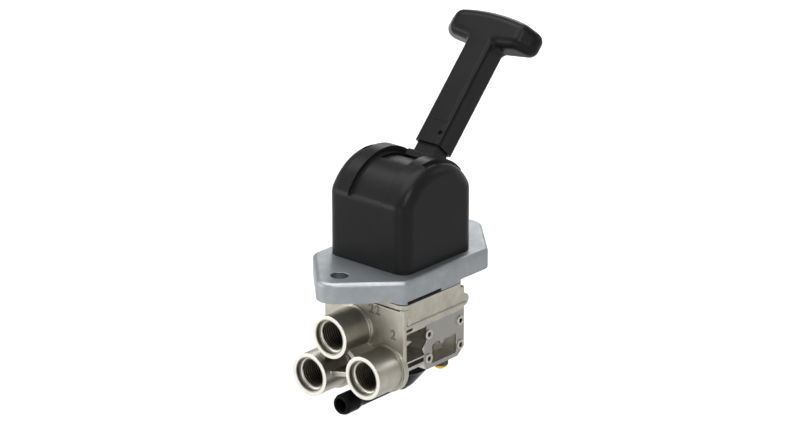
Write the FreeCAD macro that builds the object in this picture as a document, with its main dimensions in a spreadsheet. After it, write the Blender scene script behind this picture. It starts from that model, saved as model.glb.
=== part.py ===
"""Parking brake valve: a lever-operated air valve with three ports and an exhaust elbow.

Millimetres, +Z up. The origin lies between the two mounting holes, on the underside of
the mounting flange. The lever turns about X and the three ports face -Y.
"""
import FreeCAD, Part
import math
import os
import Sketcher
from FreeCAD import Placement, Rotation, Vector

SPRING_RUNS_PER_TURN = 12

doc = FreeCAD.newDocument("parking_brake_valve")
sheet = doc.addObject("Spreadsheet::Sheet", "sizes")
rows_used = 0
bodies = []


class Size:
    """A number together with the spreadsheet expression that gives it."""

    def __init__(self, value, text):
        self.value = float(value)
        self.text = text

    def __add__(self, other):
        other = as_size(other)
        return Size(self.value + other.value, "(%s + %s)" % (self.text, other.text))

    def __radd__(self, other):
        return as_size(other) + self

    def __sub__(self, other):
        other = as_size(other)
        return Size(self.value - other.value, "(%s - %s)" % (self.text, other.text))

    def __rsub__(self, other):
        return as_size(other) - self

    def __mul__(self, other):
        other = as_size(other)
        return Size(self.value * other.value, "(%s * %s)" % (self.text, other.text))

    def __rmul__(self, other):
        return as_size(other) * self

    def __truediv__(self, other):
        other = as_size(other)
        return Size(self.value / other.value, "(%s / %s)" % (self.text, other.text))

    def __neg__(self):
        return Size(-self.value, "(0 - %s)" % self.text)


def as_size(value):
    """A plain number as a Size, and a Size as it is."""
    if isinstance(value, Size):
        return value
    return Size(value, "%.9g" % value)


def root(value):
    """Square root of a Size."""
    return Size(math.sqrt(value.value), "sqrt(%s)" % value.text)


def sine(angle):
    """Sine of a Size in degrees."""
    return Size(math.sin(math.radians(angle.value)), "sin(%s * 1deg)" % angle.text)


def cosine(angle):
    """Cosine of a Size in degrees."""
    return Size(math.cos(math.radians(angle.value)), "cos(%s * 1deg)" % angle.text)


def cell(name, value):
    """Write one driving dimension into the sheet and return it as a Size."""
    global rows_used
    rows_used += 1
    sheet.set("A%d" % rows_used, name)
    sheet.set("B%d" % rows_used, str(value))
    sheet.setAlias("B%d" % rows_used, name)
    return Size(value, "sizes.%s" % name)


# Clearances
running_gap = cell("running_gap", 0.05)
slide_gap = cell("slide_gap", 0.1)
cam_gap = cell("cam_gap", 0.1)

# Mounting flange
flange_width = cell("flange_width", 62.6)
flange_side_length = cell("flange_side_length", 62.0)
flange_thickness = cell("flange_thickness", 10.4)
flange_tip_round = cell("flange_tip_round", 9.0)
flange_side_round = cell("flange_side_round", 7.0)
flange_edge_round = cell("flange_edge_round", 2.4)
mount_spacing = cell("mount_spacing", 91.0)
mount_hole = cell("mount_hole", 9.0)
spigot_depth = cell("spigot_depth", 4.6)
deck_round = cell("deck_round", 5.0)
spigot_notch_depth = cell("spigot_notch_depth", 3.0)
spigot_notch_front = cell("spigot_notch_front", 24.7)
spigot_notch_back = cell("spigot_notch_back", 0.5)

# Pivot of the lever and its bearings
pivot_height = cell("pivot_height", 31.4)
lever_tilt = cell("lever_tilt", 43.0)
shaft_diameter = cell("shaft_diameter", 8.0)
cheek_inside = cell("cheek_inside", 15.0)
cheek_thickness = cell("cheek_thickness", 5.0)
cheek_radius = cell("cheek_radius", 8.0)
bush_wall = cell("bush_wall", 1.5)
bush_collar = cell("bush_collar", 0.8)
bush_collar_radius = cell("bush_collar_radius", 7.0)
clip_thickness = cell("clip_thickness", 0.8)
clip_groove_depth = cell("clip_groove_depth", 0.5)
clip_radius = cell("clip_radius", 6.2)
shaft_end = cell("shaft_end", 1.0)

# Lever below the grip
fork_width = cell("fork_width", 18.8)
fork_slot = cell("fork_slot", 10.8)
fork_radius = cell("fork_radius", 7.0)
fork_top = cell("fork_top", 18.0)
fork_crotch = cell("fork_crotch", 11.5)
stem_width = cell("stem_width", 12.6)
stem_depth = cell("stem_depth", 10.5)
collar_width = cell("collar_width", 17.8)
collar_depth = cell("collar_depth", 13.0)
collar_bottom = cell("collar_bottom", 27.0)
collar_top = cell("collar_top", 31.0)
stem_top = cell("stem_top", 84.0)
stem_bore = cell("stem_bore", 8.4)
stem_bore_bottom = cell("stem_bore_bottom", 48.0)
stem_cap_length = cell("stem_cap_length", 4.0)

# Grip
grip_bottom = cell("grip_bottom", 36.2)
grip_width = cell("grip_width", 15.9)
grip_depth = cell("grip_depth", 14.6)
grip_edge_round = cell("grip_edge_round", 2.5)
head_top = cell("head_top", 113.0)
head_underside = cell("head_underside", 95.6)
head_length = cell("head_length", 56.4)
head_end_drop = cell("head_end_drop", 3.8)
head_end_rise = cell("head_end_rise", 2.2)
head_back = cell("head_back", 8.5)
head_flare = cell("head_flare", 3.0)
head_tip_round = cell("head_tip_round", 6.0)
head_edge_round = cell("head_edge_round", 4.8)
pocket_headroom = cell("pocket_headroom", 1.2)
rod_diameter = cell("rod_diameter", 4.0)
rod_head_diameter = cell("rod_head_diameter", 7.6)
rod_head_length = cell("rod_head_length", 3.0)
rod_head_room = cell("rod_head_room", 3.0)
rod_seat_depth = cell("rod_seat_depth", 8.0)
grip_spring_wire = cell("grip_spring_wire", 1.2)
grip_spring_turns = cell("grip_spring_turns", 6.0)
pin_hole = cell("pin_hole", 2.4)
pin_hole_side = cell("pin_hole_side", 5.4)
pin_hole_rise = cell("pin_hole_rise", 6.4)
pin_hole_depth = cell("pin_hole_depth", 1.2)
parting_rise = cell("parting_rise", 12.4)
parting_width = cell("parting_width", 0.35)
parting_depth = cell("parting_depth", 0.3)

# Cover
cover_width = cell("cover_width", 51.2)
cover_depth = cell("cover_depth", 53.7)
cover_wall = cell("cover_wall", 2.6)
shoulder_height = cell("shoulder_height", 42.5)
shoulder_radius = cell("shoulder_radius", 9.0)
crown_radius = cell("crown_radius", 30.0)
cover_edge_round = cell("cover_edge_round", 7.0)
track_width = cell("track_width", 22.6)
track_depth = cell("track_depth", 2.2)
track_bottom = cell("track_bottom", 45.0)
track_lip = cell("track_lip", 1.2)
track_floor = cell("track_floor", 1.2)
slot_width = cell("slot_width", 19.2)
slot_front_angle = cell("slot_front_angle", 9.5)
slot_back_angle = cell("slot_back_angle", 57.5)
hood_width = cell("hood_width", 37.0)
hood_shift = cell("hood_shift", 1.5)
hood_start_angle = cell("hood_start_angle", 15.0)
hood_groove_width = cell("hood_groove_width", 3.4)
hood_groove_depth = cell("hood_groove_depth", 1.4)
hood_groove_front = cell("hood_groove_front", 10.5)
hood_groove_back = cell("hood_groove_back", 50.0)
cover_boss_radius = cell("cover_boss_radius", 3.6)
cover_boss_height = cell("cover_boss_height", 14.0)
cover_screw_side = cell("cover_screw_side", 19.4)
cover_screw_back = cell("cover_screw_back", 22.2)
cover_screw = cell("cover_screw", 4.0)
cover_screw_length = cell("cover_screw_length", 16.0)
cover_head = cell("cover_head", 7.0)
cover_head_height = cell("cover_head_height", 2.4)
cover_head_recess = cell("cover_head_recess", 0.6)

# Sliding shield under the cover
shield_gap = cell("shield_gap", 0.25)
shield_thickness = cell("shield_thickness", 1.5)
shield_width = cell("shield_width", 21.2)
shield_front_angle = cell("shield_front_angle", 47.0)
shield_back_angle = cell("shield_back_angle", 16.0)

# Cam, tappet and springs
cam_radius = cell("cam_radius", 10.0)
cam_offset = cell("cam_offset", 4.0)
cam_start_angle = cell("cam_start_angle", 20.0)
cam_width = cell("cam_width", 10.4)
tappet_head_radius = cell("tappet_head_radius", 8.0)
tappet_head_height = cell("tappet_head_height", 3.0)
tappet_diameter = cell("tappet_diameter", 10.0)
tappet_tail = cell("tappet_tail", 9.0)
tappet_spring_radius = cell("tappet_spring_radius", 7.0)
tappet_spring_wire = cell("tappet_spring_wire", 1.4)
tappet_spring_turns = cell("tappet_spring_turns", 4.0)
spring_seat_depth = cell("spring_seat_depth", 5.0)
spring_seat_radius = cell("spring_seat_radius", 8.6)
return_spring_radius = cell("return_spring_radius", 5.4)
return_spring_wire = cell("return_spring_wire", 1.2)
return_spring_turns = cell("return_spring_turns", 2.5)
seat_plate_radius = cell("seat_plate_radius", 12.0)
seat_plate_thickness = cell("seat_plate_thickness", 2.0)
main_spring_radius = cell("main_spring_radius", 9.5)
main_spring_wire = cell("main_spring_wire", 2.0)
main_spring_turns = cell("main_spring_turns", 3.5)

# Valve body
body_width = cell("body_width", 52.8)
body_front = cell("body_front", 27.8)
body_back = cell("body_back", 18.6)
deck_top = cell("deck_top", 5.0)
deck_thickness = cell("deck_thickness", 2.4)
deck_groove = cell("deck_groove", 0.8)
deck_groove_depth = cell("deck_groove_depth", 3.0)
body_bottom_front = cell("body_bottom_front", 40.0)
body_bottom_back = cell("body_bottom_back", 43.5)
frame_front = cell("frame_front", 10.6)
body_back_chamfer = cell("body_back_chamfer", 5.4)
barrel_radius = cell("barrel_radius", 17.8)
barrel_bottom = cell("barrel_bottom", 46.0)
bead_top = cell("bead_top", 15.4)
bead_bottom = cell("bead_bottom", 17.6)
bead_proud = cell("bead_proud", 1.0)
back_bead_radius = cell("back_bead_radius", 3.1)
front_wall = cell("front_wall", 1.9)
side_pocket_depth = cell("side_pocket_depth", 15.0)
side_pocket_top = cell("side_pocket_top", 20.2)
side_pocket_bottom = cell("side_pocket_bottom", 35.1)
bead_notch_top = cell("bead_notch_top", 17.8)
bead_notch_bottom = cell("bead_notch_bottom", 19.3)
bead_notch_back = cell("bead_notch_back", 21.0)
bead_notch_depth = cell("bead_notch_depth", 2.5)
floor_slot_top = cell("floor_slot_top", 35.9)
floor_slot_bottom = cell("floor_slot_bottom", 38.4)
floor_slot_depth = cell("floor_slot_depth", 9.0)
gusset_tip = cell("gusset_tip", 20.6)
gusset_drop = cell("gusset_drop", 25.4)
gusset_height = cell("gusset_height", 3.6)
gusset_thickness = cell("gusset_thickness", 5.0)
post_width = cell("post_width", 1.0)
post_proud = cell("post_proud", 0.5)
post_front = cell("post_front", 24.3)
post_top = cell("post_top", 11.5)
window_front = cell("window_front", 6.4)
window_back = cell("window_back", 12.2)
window_top = cell("window_top", 31.1)
window_bottom = cell("window_bottom", 41.4)
window_lobe = cell("window_lobe", 1.7)
window_lobe_middle = cell("window_lobe_middle", 1.1)
window_depth = cell("window_depth", 10.0)
pad_boss_radius = cell("pad_boss_radius", 2.6)
pad_boss_proud = cell("pad_boss_proud", 0.7)
pad_hole = cell("pad_hole", 2.6)
pad_hole_depth = cell("pad_hole_depth", 7.0)
pad_hole_front = cell("pad_hole_front", 9.3)
pad_hole_back = cell("pad_hole_back", 14.9)
pad_hole_top = cell("pad_hole_top", 24.8)
pad_hole_bottom = cell("pad_hole_bottom", 37.8)

# Ports
port_radius = cell("port_radius", 11.15)
port_face = cell("port_face", 46.2)
port_collar_radius = cell("port_collar_radius", 12.4)
port_collar_height = cell("port_collar_height", 1.0)
counterbore_diameter = cell("counterbore_diameter", 17.6)
counterbore_depth = cell("counterbore_depth", 2.6)
thread_bore = cell("thread_bore", 14.5)
thread_depth = cell("thread_depth", 14.0)
seat_chamfer = cell("seat_chamfer", 0.8)
passage_diameter = cell("passage_diameter", 6.0)
top_passage = cell("top_passage", 31.0)
right_passage = cell("right_passage", 17.0)
left_passage = cell("left_passage", 22.0)
top_port_side = cell("top_port_side", -6.5)
top_port_drop = cell("top_port_drop", 24.0)
right_port_side = cell("right_port_side", 15.4)
right_port_drop = cell("right_port_drop", 39.9)
right_port_root = cell("right_port_root", 24.4)
left_port_side = cell("left_port_side", -20.1)
left_port_drop = cell("left_port_drop", 47.8)
left_port_root = cell("left_port_root", 14.0)
web_thickness = cell("web_thickness", 2.4)
web_setback = cell("web_setback", 4.0)

# Piston, inlet valve and lower bore
main_bore = cell("main_bore", 30.0)
main_bore_bottom = cell("main_bore_bottom", 34.0)
piston_gap = cell("piston_gap", 0.08)
piston_top = cell("piston_top", 22.0)
piston_height = cell("piston_height", 8.0)
piston_tube_radius = cell("piston_tube_radius", 4.0)
ring_wire = cell("ring_wire", 2.4)
chamber_diameter = cell("chamber_diameter", 16.0)
lower_bore = cell("lower_bore", 20.0)
lower_bore_top = cell("lower_bore_top", 40.0)
valve_disc_radius = cell("valve_disc_radius", 6.0)
valve_disc_top = cell("valve_disc_top", 35.0)
valve_disc_height = cell("valve_disc_height", 2.0)
valve_stem_radius = cell("valve_stem_radius", 2.0)
guide_thickness = cell("guide_thickness", 1.8)
valve_spring_radius = cell("valve_spring_radius", 4.0)
valve_spring_wire = cell("valve_spring_wire", 0.7)
valve_spring_turns = cell("valve_spring_turns", 2.0)

# Exhaust elbow
elbow_disc_radius = cell("elbow_disc_radius", 15.0)
elbow_disc_height = cell("elbow_disc_height", 5.0)
elbow_disc_rim = cell("elbow_disc_rim", 13.6)
elbow_height = cell("elbow_height", 59.0)
elbow_corner_radius = cell("elbow_corner_radius", 7.0)
elbow_bottom_radius = cell("elbow_bottom_radius", 5.0)
pipe_radius = cell("pipe_radius", 4.6)
barb_radius = cell("barb_radius", 5.4)
barb_length = cell("barb_length", 9.0)
barb_taper = cell("barb_taper", 3.0)
pipe_face = cell("pipe_face", 45.4)
pipe_bore = cell("pipe_bore", 8.2)
elbow_bore = cell("elbow_bore", 10.0)
spigot_ring_wire = cell("spigot_ring_wire", 1.6)
spigot_fit = cell("spigot_fit", 0.1)

# Small vent plug
plug_side = cell("plug_side", 21.0)
plug_back = cell("plug_back", 6.3)
plug_radius = cell("plug_radius", 3.5)
plug_height = cell("plug_height", 2.2)
plug_stem = cell("plug_stem", 4.0)
plug_stem_length = cell("plug_stem_length", 1.3)
plug_ring_radius = cell("plug_ring_radius", 4.0)
plug_ring_height = cell("plug_ring_height", 3.4)

# Screws that hold the flange to the body
body_screw = cell("body_screw", 5.0)
body_screw_head = cell("body_screw_head", 8.5)
body_screw_head_height = cell("body_screw_head_height", 5.0)
body_screw_length = cell("body_screw_length", 20.0)
body_screw_side = cell("body_screw_side", 17.5)
body_screw_front = cell("body_screw_front", 19.0)
body_screw_back = cell("body_screw_back", 13.2)
hex_socket = cell("hex_socket", 4.0)
hex_socket_depth = cell("hex_socket_depth", 2.6)

doc.recompute()


def new_body(label):
    """An empty body whose label names its file."""
    body = doc.addObject("PartDesign::Body", label)
    body.Label = label
    bodies.append(body)
    return body


def plane_of(body, role):
    """One of the body's own origin planes."""
    for feature in body.Origin.OriginFeatures:
        if feature.Role == role:
            return feature
    raise RuntimeError("no plane %s" % role)


class Profile:
    """A sketch on an origin plane, with every point tied to the sheet."""

    def __init__(self, body, name, role, offset=None):
        self.sketch = body.newObject("Sketcher::SketchObject", "%s_%s" % (body.Label, name))
        self.sketch.AttachmentSupport = [(plane_of(body, role), "")]
        self.sketch.MapMode = "FlatFace"
        if offset is not None:
            offset = as_size(offset)
            self.sketch.AttachmentOffset = Placement(Vector(0, 0, offset.value), Rotation())
            self.sketch.setExpression("AttachmentOffset.Base.z", offset.text)

    def bind(self, index, size):
        """Tie one constraint to its expression."""
        self.sketch.setExpression("Constraints[%d]" % index, size.text)

    def pin(self, geometry, position, x=None, y=None):
        """Fix one point of a piece of geometry by its distances from the origin."""
        for kind, axis, size in (("DistanceX", -2, x), ("DistanceY", -1, y)):
            if size is None:
                continue
            size = as_size(size)
            if abs(size.value) < 1e-9:
                self.sketch.addConstraint(Sketcher.Constraint("PointOnObject", geometry, position, axis))
                continue
            constraint = Sketcher.Constraint(kind, -1, 1, geometry, position, size.value)
            self.bind(self.sketch.addConstraint(constraint), size)

    def circle(self, x, y, radius):
        """A full circle."""
        x, y, radius = as_size(x), as_size(y), as_size(radius)
        circle = Part.Circle(Vector(x.value, y.value, 0), Vector(0, 0, 1), radius.value)
        index = self.sketch.addGeometry(circle, False)
        self.pin(index, 3, x, y)
        self.bind(self.sketch.addConstraint(Sketcher.Constraint("Radius", index, radius.value)), radius)
        return self

    def outline(self, corners):
        """A closed outline of lines and arcs.

        Each corner is (x, y) for a line that leaves it, or (x, y, centre, turn) for an arc
        about that centre, with a turn of +1 anticlockwise and -1 clockwise.
        """
        points = [(as_size(c[0]), as_size(c[1])) for c in corners]
        pieces = []
        for number, corner in enumerate(corners):
            start = points[number]
            end = points[(number + 1) % len(points)]
            start_point = Vector(start[0].value, start[1].value, 0)
            end_point = Vector(end[0].value, end[1].value, 0)
            if len(corner) == 2:
                index = self.sketch.addGeometry(Part.LineSegment(start_point, end_point), False)
                pieces.append((index, 1, 2))
                continue
            centre = (as_size(corner[2][0]), as_size(corner[2][1]))
            middle = Vector(centre[0].value, centre[1].value, 0)
            radius = (start_point - middle).Length
            first = math.atan2(start_point.y - middle.y, start_point.x - middle.x)
            last = math.atan2(end_point.y - middle.y, end_point.x - middle.x)
            whole = Part.Circle(middle, Vector(0, 0, 1), radius)
            if corner[3] > 0:
                index = self.sketch.addGeometry(Part.ArcOfCircle(whole, first, last), False)
                pieces.append((index, 1, 2))
            else:
                index = self.sketch.addGeometry(Part.ArcOfCircle(whole, last, first), False)
                pieces.append((index, 2, 1))
            chord = end_point - start_point
            if abs(chord.x) > abs(chord.y):
                self.pin(index, 3, None, centre[1])
            else:
                self.pin(index, 3, centre[0], None)
        for number, (index, start_end, far_end) in enumerate(pieces):
            following = pieces[(number + 1) % len(pieces)]
            self.sketch.addConstraint(
                Sketcher.Constraint("Coincident", index, far_end, following[0], following[1]))
            self.pin(index, start_end, points[number][0], points[number][1])
        return self

    def centre_line(self, level):
        """A level construction line to turn about; returns its name for turn and groove."""
        level = as_size(level)
        line = Part.LineSegment(Vector(0, level.value, 0), Vector(10, level.value, 0))
        index = self.sketch.addGeometry(line, True)
        self.sketch.addConstraint(Sketcher.Constraint("Horizontal", index))
        self.pin(index, 1, 0, level)
        self.sketch.addConstraint(Sketcher.Constraint("DistanceX", index, 1, index, 2, 10.0))
        return "Axis0"

    def rectangle(self, x_low, y_low, x_high, y_high):
        """A rectangle with its sides along the axes."""
        return self.outline([(x_low, y_low), (x_high, y_low), (x_high, y_high), (x_low, y_high)])


def checked(body, feature, before, grows):
    """Recompute and make sure the feature changed the volume the right way."""
    doc.recompute()
    if feature.Shape.isNull() or not feature.isValid():
        raise RuntimeError("%s failed" % feature.Label)
    after = feature.Shape.Volume
    if grows and after <= before + 1e-6:
        raise RuntimeError("%s adds nothing" % feature.Label)
    if not grows and after >= before - 1e-6:
        raise RuntimeError("%s cuts nothing" % feature.Label)
    body.Tip = feature
    return feature


def volume_of(body):
    """Volume of the body so far."""
    if body.Tip is None or not hasattr(body.Tip, "Shape") or body.Tip.Shape.isNull():
        return 0.0
    return body.Tip.Shape.Volume


def extrude(body, kind, name, profile, length, side, grows):
    """A pad or pocket; side is "up", "down" or "both" along the sketch's normal."""
    doc.recompute()
    before = volume_of(body)
    feature = body.newObject(kind, "%s_%s" % (body.Label, name))
    feature.Profile = profile.sketch
    length = as_size(length)
    feature.Length = length.value
    feature.setExpression("Length", length.text)
    if side == "both":
        feature.SideType = "Symmetric"
    elif kind == "PartDesign::Pad":
        feature.Reversed = side == "down"
    else:
        feature.Reversed = side == "up"
    return checked(body, feature, before, grows)


def pad(body, name, profile, length, side="up"):
    """Add an extrusion."""
    return extrude(body, "PartDesign::Pad", name, profile, length, side, True)


def pocket(body, name, profile, length, side="down"):
    """Cut an extrusion."""
    return extrude(body, "PartDesign::Pocket", name, profile, length, side, False)


def turn(body, name, profile, axis="V_Axis"):
    """Add a full turn of a profile."""
    doc.recompute()
    before = volume_of(body)
    feature = body.newObject("PartDesign::Revolution", "%s_%s" % (body.Label, name))
    feature.Profile = profile.sketch
    feature.ReferenceAxis = (profile.sketch, [axis])
    feature.Angle = 360
    return checked(body, feature, before, True)


def groove(body, name, profile, axis="V_Axis"):
    """Cut a full turn of a profile."""
    doc.recompute()
    before = volume_of(body)
    feature = body.newObject("PartDesign::Groove", "%s_%s" % (body.Label, name))
    feature.Profile = profile.sketch
    feature.ReferenceAxis = (profile.sketch, [axis])
    feature.Angle = 360
    return checked(body, feature, before, False)


def round_edges(body, name, radius, wanted):
    """Fillet the edges for which wanted(edge) is true."""
    radius = as_size(radius)
    base = body.Tip
    names = ["Edge%d" % (n + 1) for n, edge in enumerate(base.Shape.Edges) if wanted(edge)]
    if not names:
        raise RuntimeError("%s found no edges" % name)
    feature = body.newObject("PartDesign::Fillet", "%s_%s" % (body.Label, name))
    feature.Base = (base, names)
    feature.Radius = radius.value
    feature.setExpression("Radius", radius.text)
    doc.recompute()
    if feature.Shape.isNull() or not feature.isValid():
        raise RuntimeError("%s failed" % feature.Label)
    body.Tip = feature
    return feature


def is_upright(edge):
    """True for a straight edge along Z."""
    box = edge.BoundBox
    return box.XLength < 1e-4 and box.YLength < 1e-4 and box.ZLength > 1e-3


def flat_at(edge, height):
    """True for an edge that lies in the level plane at this height."""
    box = edge.BoundBox
    return box.ZLength < 1e-4 and abs(box.ZMin - height) < 1e-4


def place_on_pivot(body, tilted):
    """Carry a body drawn about the pivot to its height, leaning back with the lever if tilted."""
    angle = -lever_tilt.value if tilted else 0.0
    body.Placement = Placement(Vector(0, 0, pivot_height.value), Rotation(Vector(1, 0, 0), angle))
    body.setExpression("Placement.Base.z", pivot_height.text)
    if tilted:
        body.setExpression("Placement.Rotation.Angle", (-lever_tilt).text)


def coil(label, centre_radius, wire, bottom, top, turns, placement=None):
    """A compression spring wound in short straight runs of six-sided wire between two heights."""
    centre_radius, wire, bottom, top = (as_size(v).value for v in (centre_radius, wire, bottom, top))
    turns = as_size(turns).value
    runs = int(math.ceil(turns * SPRING_RUNS_PER_TURN))
    sections = []
    for number in range(runs + 1):
        angle = 2 * math.pi * turns * number / runs
        outward = Vector(math.cos(angle), math.sin(angle), 0)
        middle = outward * centre_radius
        middle.z = bottom + wire / 2 + (top - bottom - wire) * number / runs
        corners = []
        for side in range(6):
            lean = math.pi * (2 * side + 1) / 6
            corners.append(middle + outward * (wire / 2 * math.cos(lean))
                           + Vector(0, 0, wire / 2 * math.sin(lean)))
        sections.append(Part.makePolygon(corners + corners[:1]))
    spring = doc.addObject("Part::Feature", label)
    spring.Label = label
    spring.Shape = Part.makeLoft(sections, True, True)
    if placement is not None:
        spring.Placement = placement
    bodies.append(spring)
    return spring


# Levels and seats shared by several pieces
half_body = body_width / 2
spigot_bottom = -spigot_depth
body_top = -deck_top
cheek_outside = cheek_inside + cheek_thickness
bush_radius = shaft_diameter / 2 + running_gap + bush_wall
tappet_top = pivot_height + cam_offset * sine(cam_start_angle) - cam_radius - cam_gap
tappet_head_bottom = tappet_top - tappet_head_height
spring_floor = flange_thickness - spring_seat_depth
seat_plate_top = -tappet_tail
seat_plate_bottom = seat_plate_top - seat_plate_thickness
cover_half_width = cover_width / 2
cover_half_depth = cover_depth / 2
track_radius = crown_radius - track_depth
shield_outside = track_radius - track_floor - shield_gap
shield_inside = shield_outside - shield_thickness
grip_roof = stem_top + pocket_headroom
rod_head_bottom = stem_bore_bottom + rod_head_room
rod_head_top = rod_head_bottom + rod_head_length
body_screw_seat = flange_thickness - body_screw_head_height
cover_head_seat = cover_head_height + cover_head_recess
screw_places = {
    "front_left": (-body_screw_side, -body_screw_front),
    "front_right": (body_screw_side, -body_screw_front),
    "back_left": (-body_screw_side, body_screw_back),
    "back_right": (body_screw_side, body_screw_back),
}
cover_screw_places = {
    "left": (-cover_screw_side, cover_screw_back),
    "right": (cover_screw_side, cover_screw_back),
}


def arch(half_depth, foot, shoulder, crown, shoulder_level):
    """Corners of an arch: two upright walls, two shoulder arcs and a crown about the pivot."""
    inset = half_depth - shoulder
    crown_level = shoulder_level - root((crown - shoulder) * (crown - shoulder) - inset * inset)
    reach = crown / (crown - shoulder)
    meet_y = inset * reach
    meet_z = crown_level + (shoulder_level - crown_level) * reach
    return [
        (-half_depth, foot),
        (half_depth, foot),
        (half_depth, shoulder_level, (inset, shoulder_level), 1),
        (meet_y, meet_z, (0, crown_level), 1),
        (-meet_y, meet_z, (-inset, shoulder_level), 1),
        (-half_depth, shoulder_level),
    ]


# Mounting flange: a pointed plate with a spigot below and two bearing cheeks above
flange = new_body("mounting_flange")
half_flange = flange_width / 2
half_side = flange_side_length / 2
flange_tip = half_side + half_flange
plate = Profile(flange, "plate_outline", "XY_Plane")
plate.outline([
    (half_flange, -half_side), (half_flange, half_side), (0, flange_tip),
    (-half_flange, half_side), (-half_flange, -half_side), (0, -flange_tip)])
pad(flange, "plate", plate, flange_thickness)
round_edges(flange, "tip_rounds", flange_tip_round,
            lambda e: is_upright(e) and abs(e.BoundBox.XMin) < 1e-3)
round_edges(flange, "side_rounds", flange_side_round,
            lambda e: is_upright(e) and abs(abs(e.BoundBox.XMin) - half_flange.value) < 1e-3)
round_edges(flange, "top_round", flange_edge_round,
            lambda e: flat_at(e, flange_thickness.value))
spigot = Profile(flange, "spigot_outline", "XY_Plane")
spigot.outline([
    (-half_body + deck_round, -body_front),
    (half_body - deck_round, -body_front, (half_body - deck_round, deck_round - body_front), 1),
    (half_body, deck_round - body_front),
    (half_body, body_back - deck_round, (half_body - deck_round, body_back - deck_round), 1),
    (half_body - deck_round, body_back),
    (-half_body + deck_round, body_back, (deck_round - half_body, body_back - deck_round), 1),
    (-half_body, body_back - deck_round),
    (-half_body, deck_round - body_front, (deck_round - half_body, deck_round - body_front), 1)])
pad(flange, "spigot", spigot, spigot_depth, "down")
notch = Profile(flange, "notch_outline", "XY_Plane")
notch.rectangle(half_body - spigot_notch_depth, -spigot_notch_front, half_body + 5, spigot_notch_back)
pocket(flange, "spigot_notch", notch, spigot_depth)
cheeks = Profile(flange, "cheek_outline", "YZ_Plane")
cheeks.outline([
    (-cheek_radius, flange_thickness - 1), (cheek_radius, flange_thickness - 1),
    (cheek_radius, pivot_height, (0, pivot_height), 1), (-cheek_radius, pivot_height)])
pad(flange, "cheeks", cheeks, 2 * cheek_outside, "both")
between = Profile(flange, "between_outline", "YZ_Plane")
between.rectangle(-cheek_radius - 1, flange_thickness, cheek_radius + 1, pivot_height + cheek_radius + 1)
pocket(flange, "between_cheeks", between, 2 * cheek_inside, "both")
bearing = Profile(flange, "bearing_outline", "YZ_Plane").circle(0, pivot_height, bush_radius)
pocket(flange, "bearing_bores", bearing, 2 * cheek_outside + 2, "both")
holes = Profile(flange, "mount_outline", "XY_Plane")
holes.circle(0, mount_spacing / 2, mount_hole / 2)
holes.circle(0, -mount_spacing / 2, mount_hole / 2)
pocket(flange, "mount_holes", holes, 3 * flange_thickness, "both")
guide_bore = Profile(flange, "guide_outline", "XY_Plane").circle(0, 0, tappet_diameter / 2 + running_gap)
pocket(flange, "tappet_bore", guide_bore, 3 * flange_thickness, "both")
spring_seat = Profile(flange, "seat_outline", "XY_Plane", flange_thickness)
spring_seat.circle(0, 0, spring_seat_radius)
pocket(flange, "spring_seat", spring_seat, spring_seat_depth)
clearances = Profile(flange, "screw_outline", "XY_Plane")
heads = Profile(flange, "head_outline", "XY_Plane", flange_thickness)
for place_x, place_y in screw_places.values():
    clearances.circle(place_x, place_y, body_screw / 2 + slide_gap)
    heads.circle(place_x, place_y, body_screw_head / 2 + slide_gap)
pocket(flange, "screw_holes", clearances, 3 * flange_thickness, "both")
pocket(flange, "screw_seats", heads, body_screw_head_height)
cover_clearances = Profile(flange, "cover_screw_outline", "XY_Plane")
cover_seats = Profile(flange, "cover_seat_outline", "XY_Plane")
for place_x, place_y in cover_screw_places.values():
    cover_clearances.circle(place_x, place_y, cover_screw / 2 + slide_gap)
    cover_seats.circle(place_x, place_y, cover_head / 2 + slide_gap)
pocket(flange, "cover_screw_holes", cover_clearances, 3 * flange_thickness, "both")
pocket(flange, "cover_screw_seats", cover_seats, cover_head_seat, "up")

# Flat gasket between the spigot and the body
gasket = new_body("flange_gasket")
sheet_outline = Profile(gasket, "outline", "XY_Plane", spigot_bottom)
gasket_inset = cell("gasket_inset", 1.2)
inner_half = half_body - gasket_inset
front_edge = gasket_inset - body_front
back_edge = body_back - gasket_inset
corner = deck_round - gasket_inset
sheet_outline.outline([
    (-inner_half + corner, front_edge),
    (inner_half - corner, front_edge, (inner_half - corner, front_edge + corner), 1),
    (inner_half, front_edge + corner),
    (inner_half, back_edge - corner, (inner_half - corner, back_edge - corner), 1),
    (inner_half - corner, back_edge),
    (-inner_half + corner, back_edge, (corner - inner_half, back_edge - corner), 1),
    (-inner_half, back_edge - corner),
    (-inner_half, front_edge + corner, (corner - inner_half, front_edge + corner), 1)])
pad(gasket, "sheet", sheet_outline, deck_top - spigot_depth, "down")
gasket_holes = Profile(gasket, "holes", "XY_Plane", spigot_bottom)
gasket_holes.circle(0, 0, tappet_diameter / 2 + 1)
for place_x, place_y in screw_places.values():
    gasket_holes.circle(place_x, place_y, body_screw / 2 + 0.2)
pocket(gasket, "openings", gasket_holes, deck_top - spigot_depth)

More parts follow.
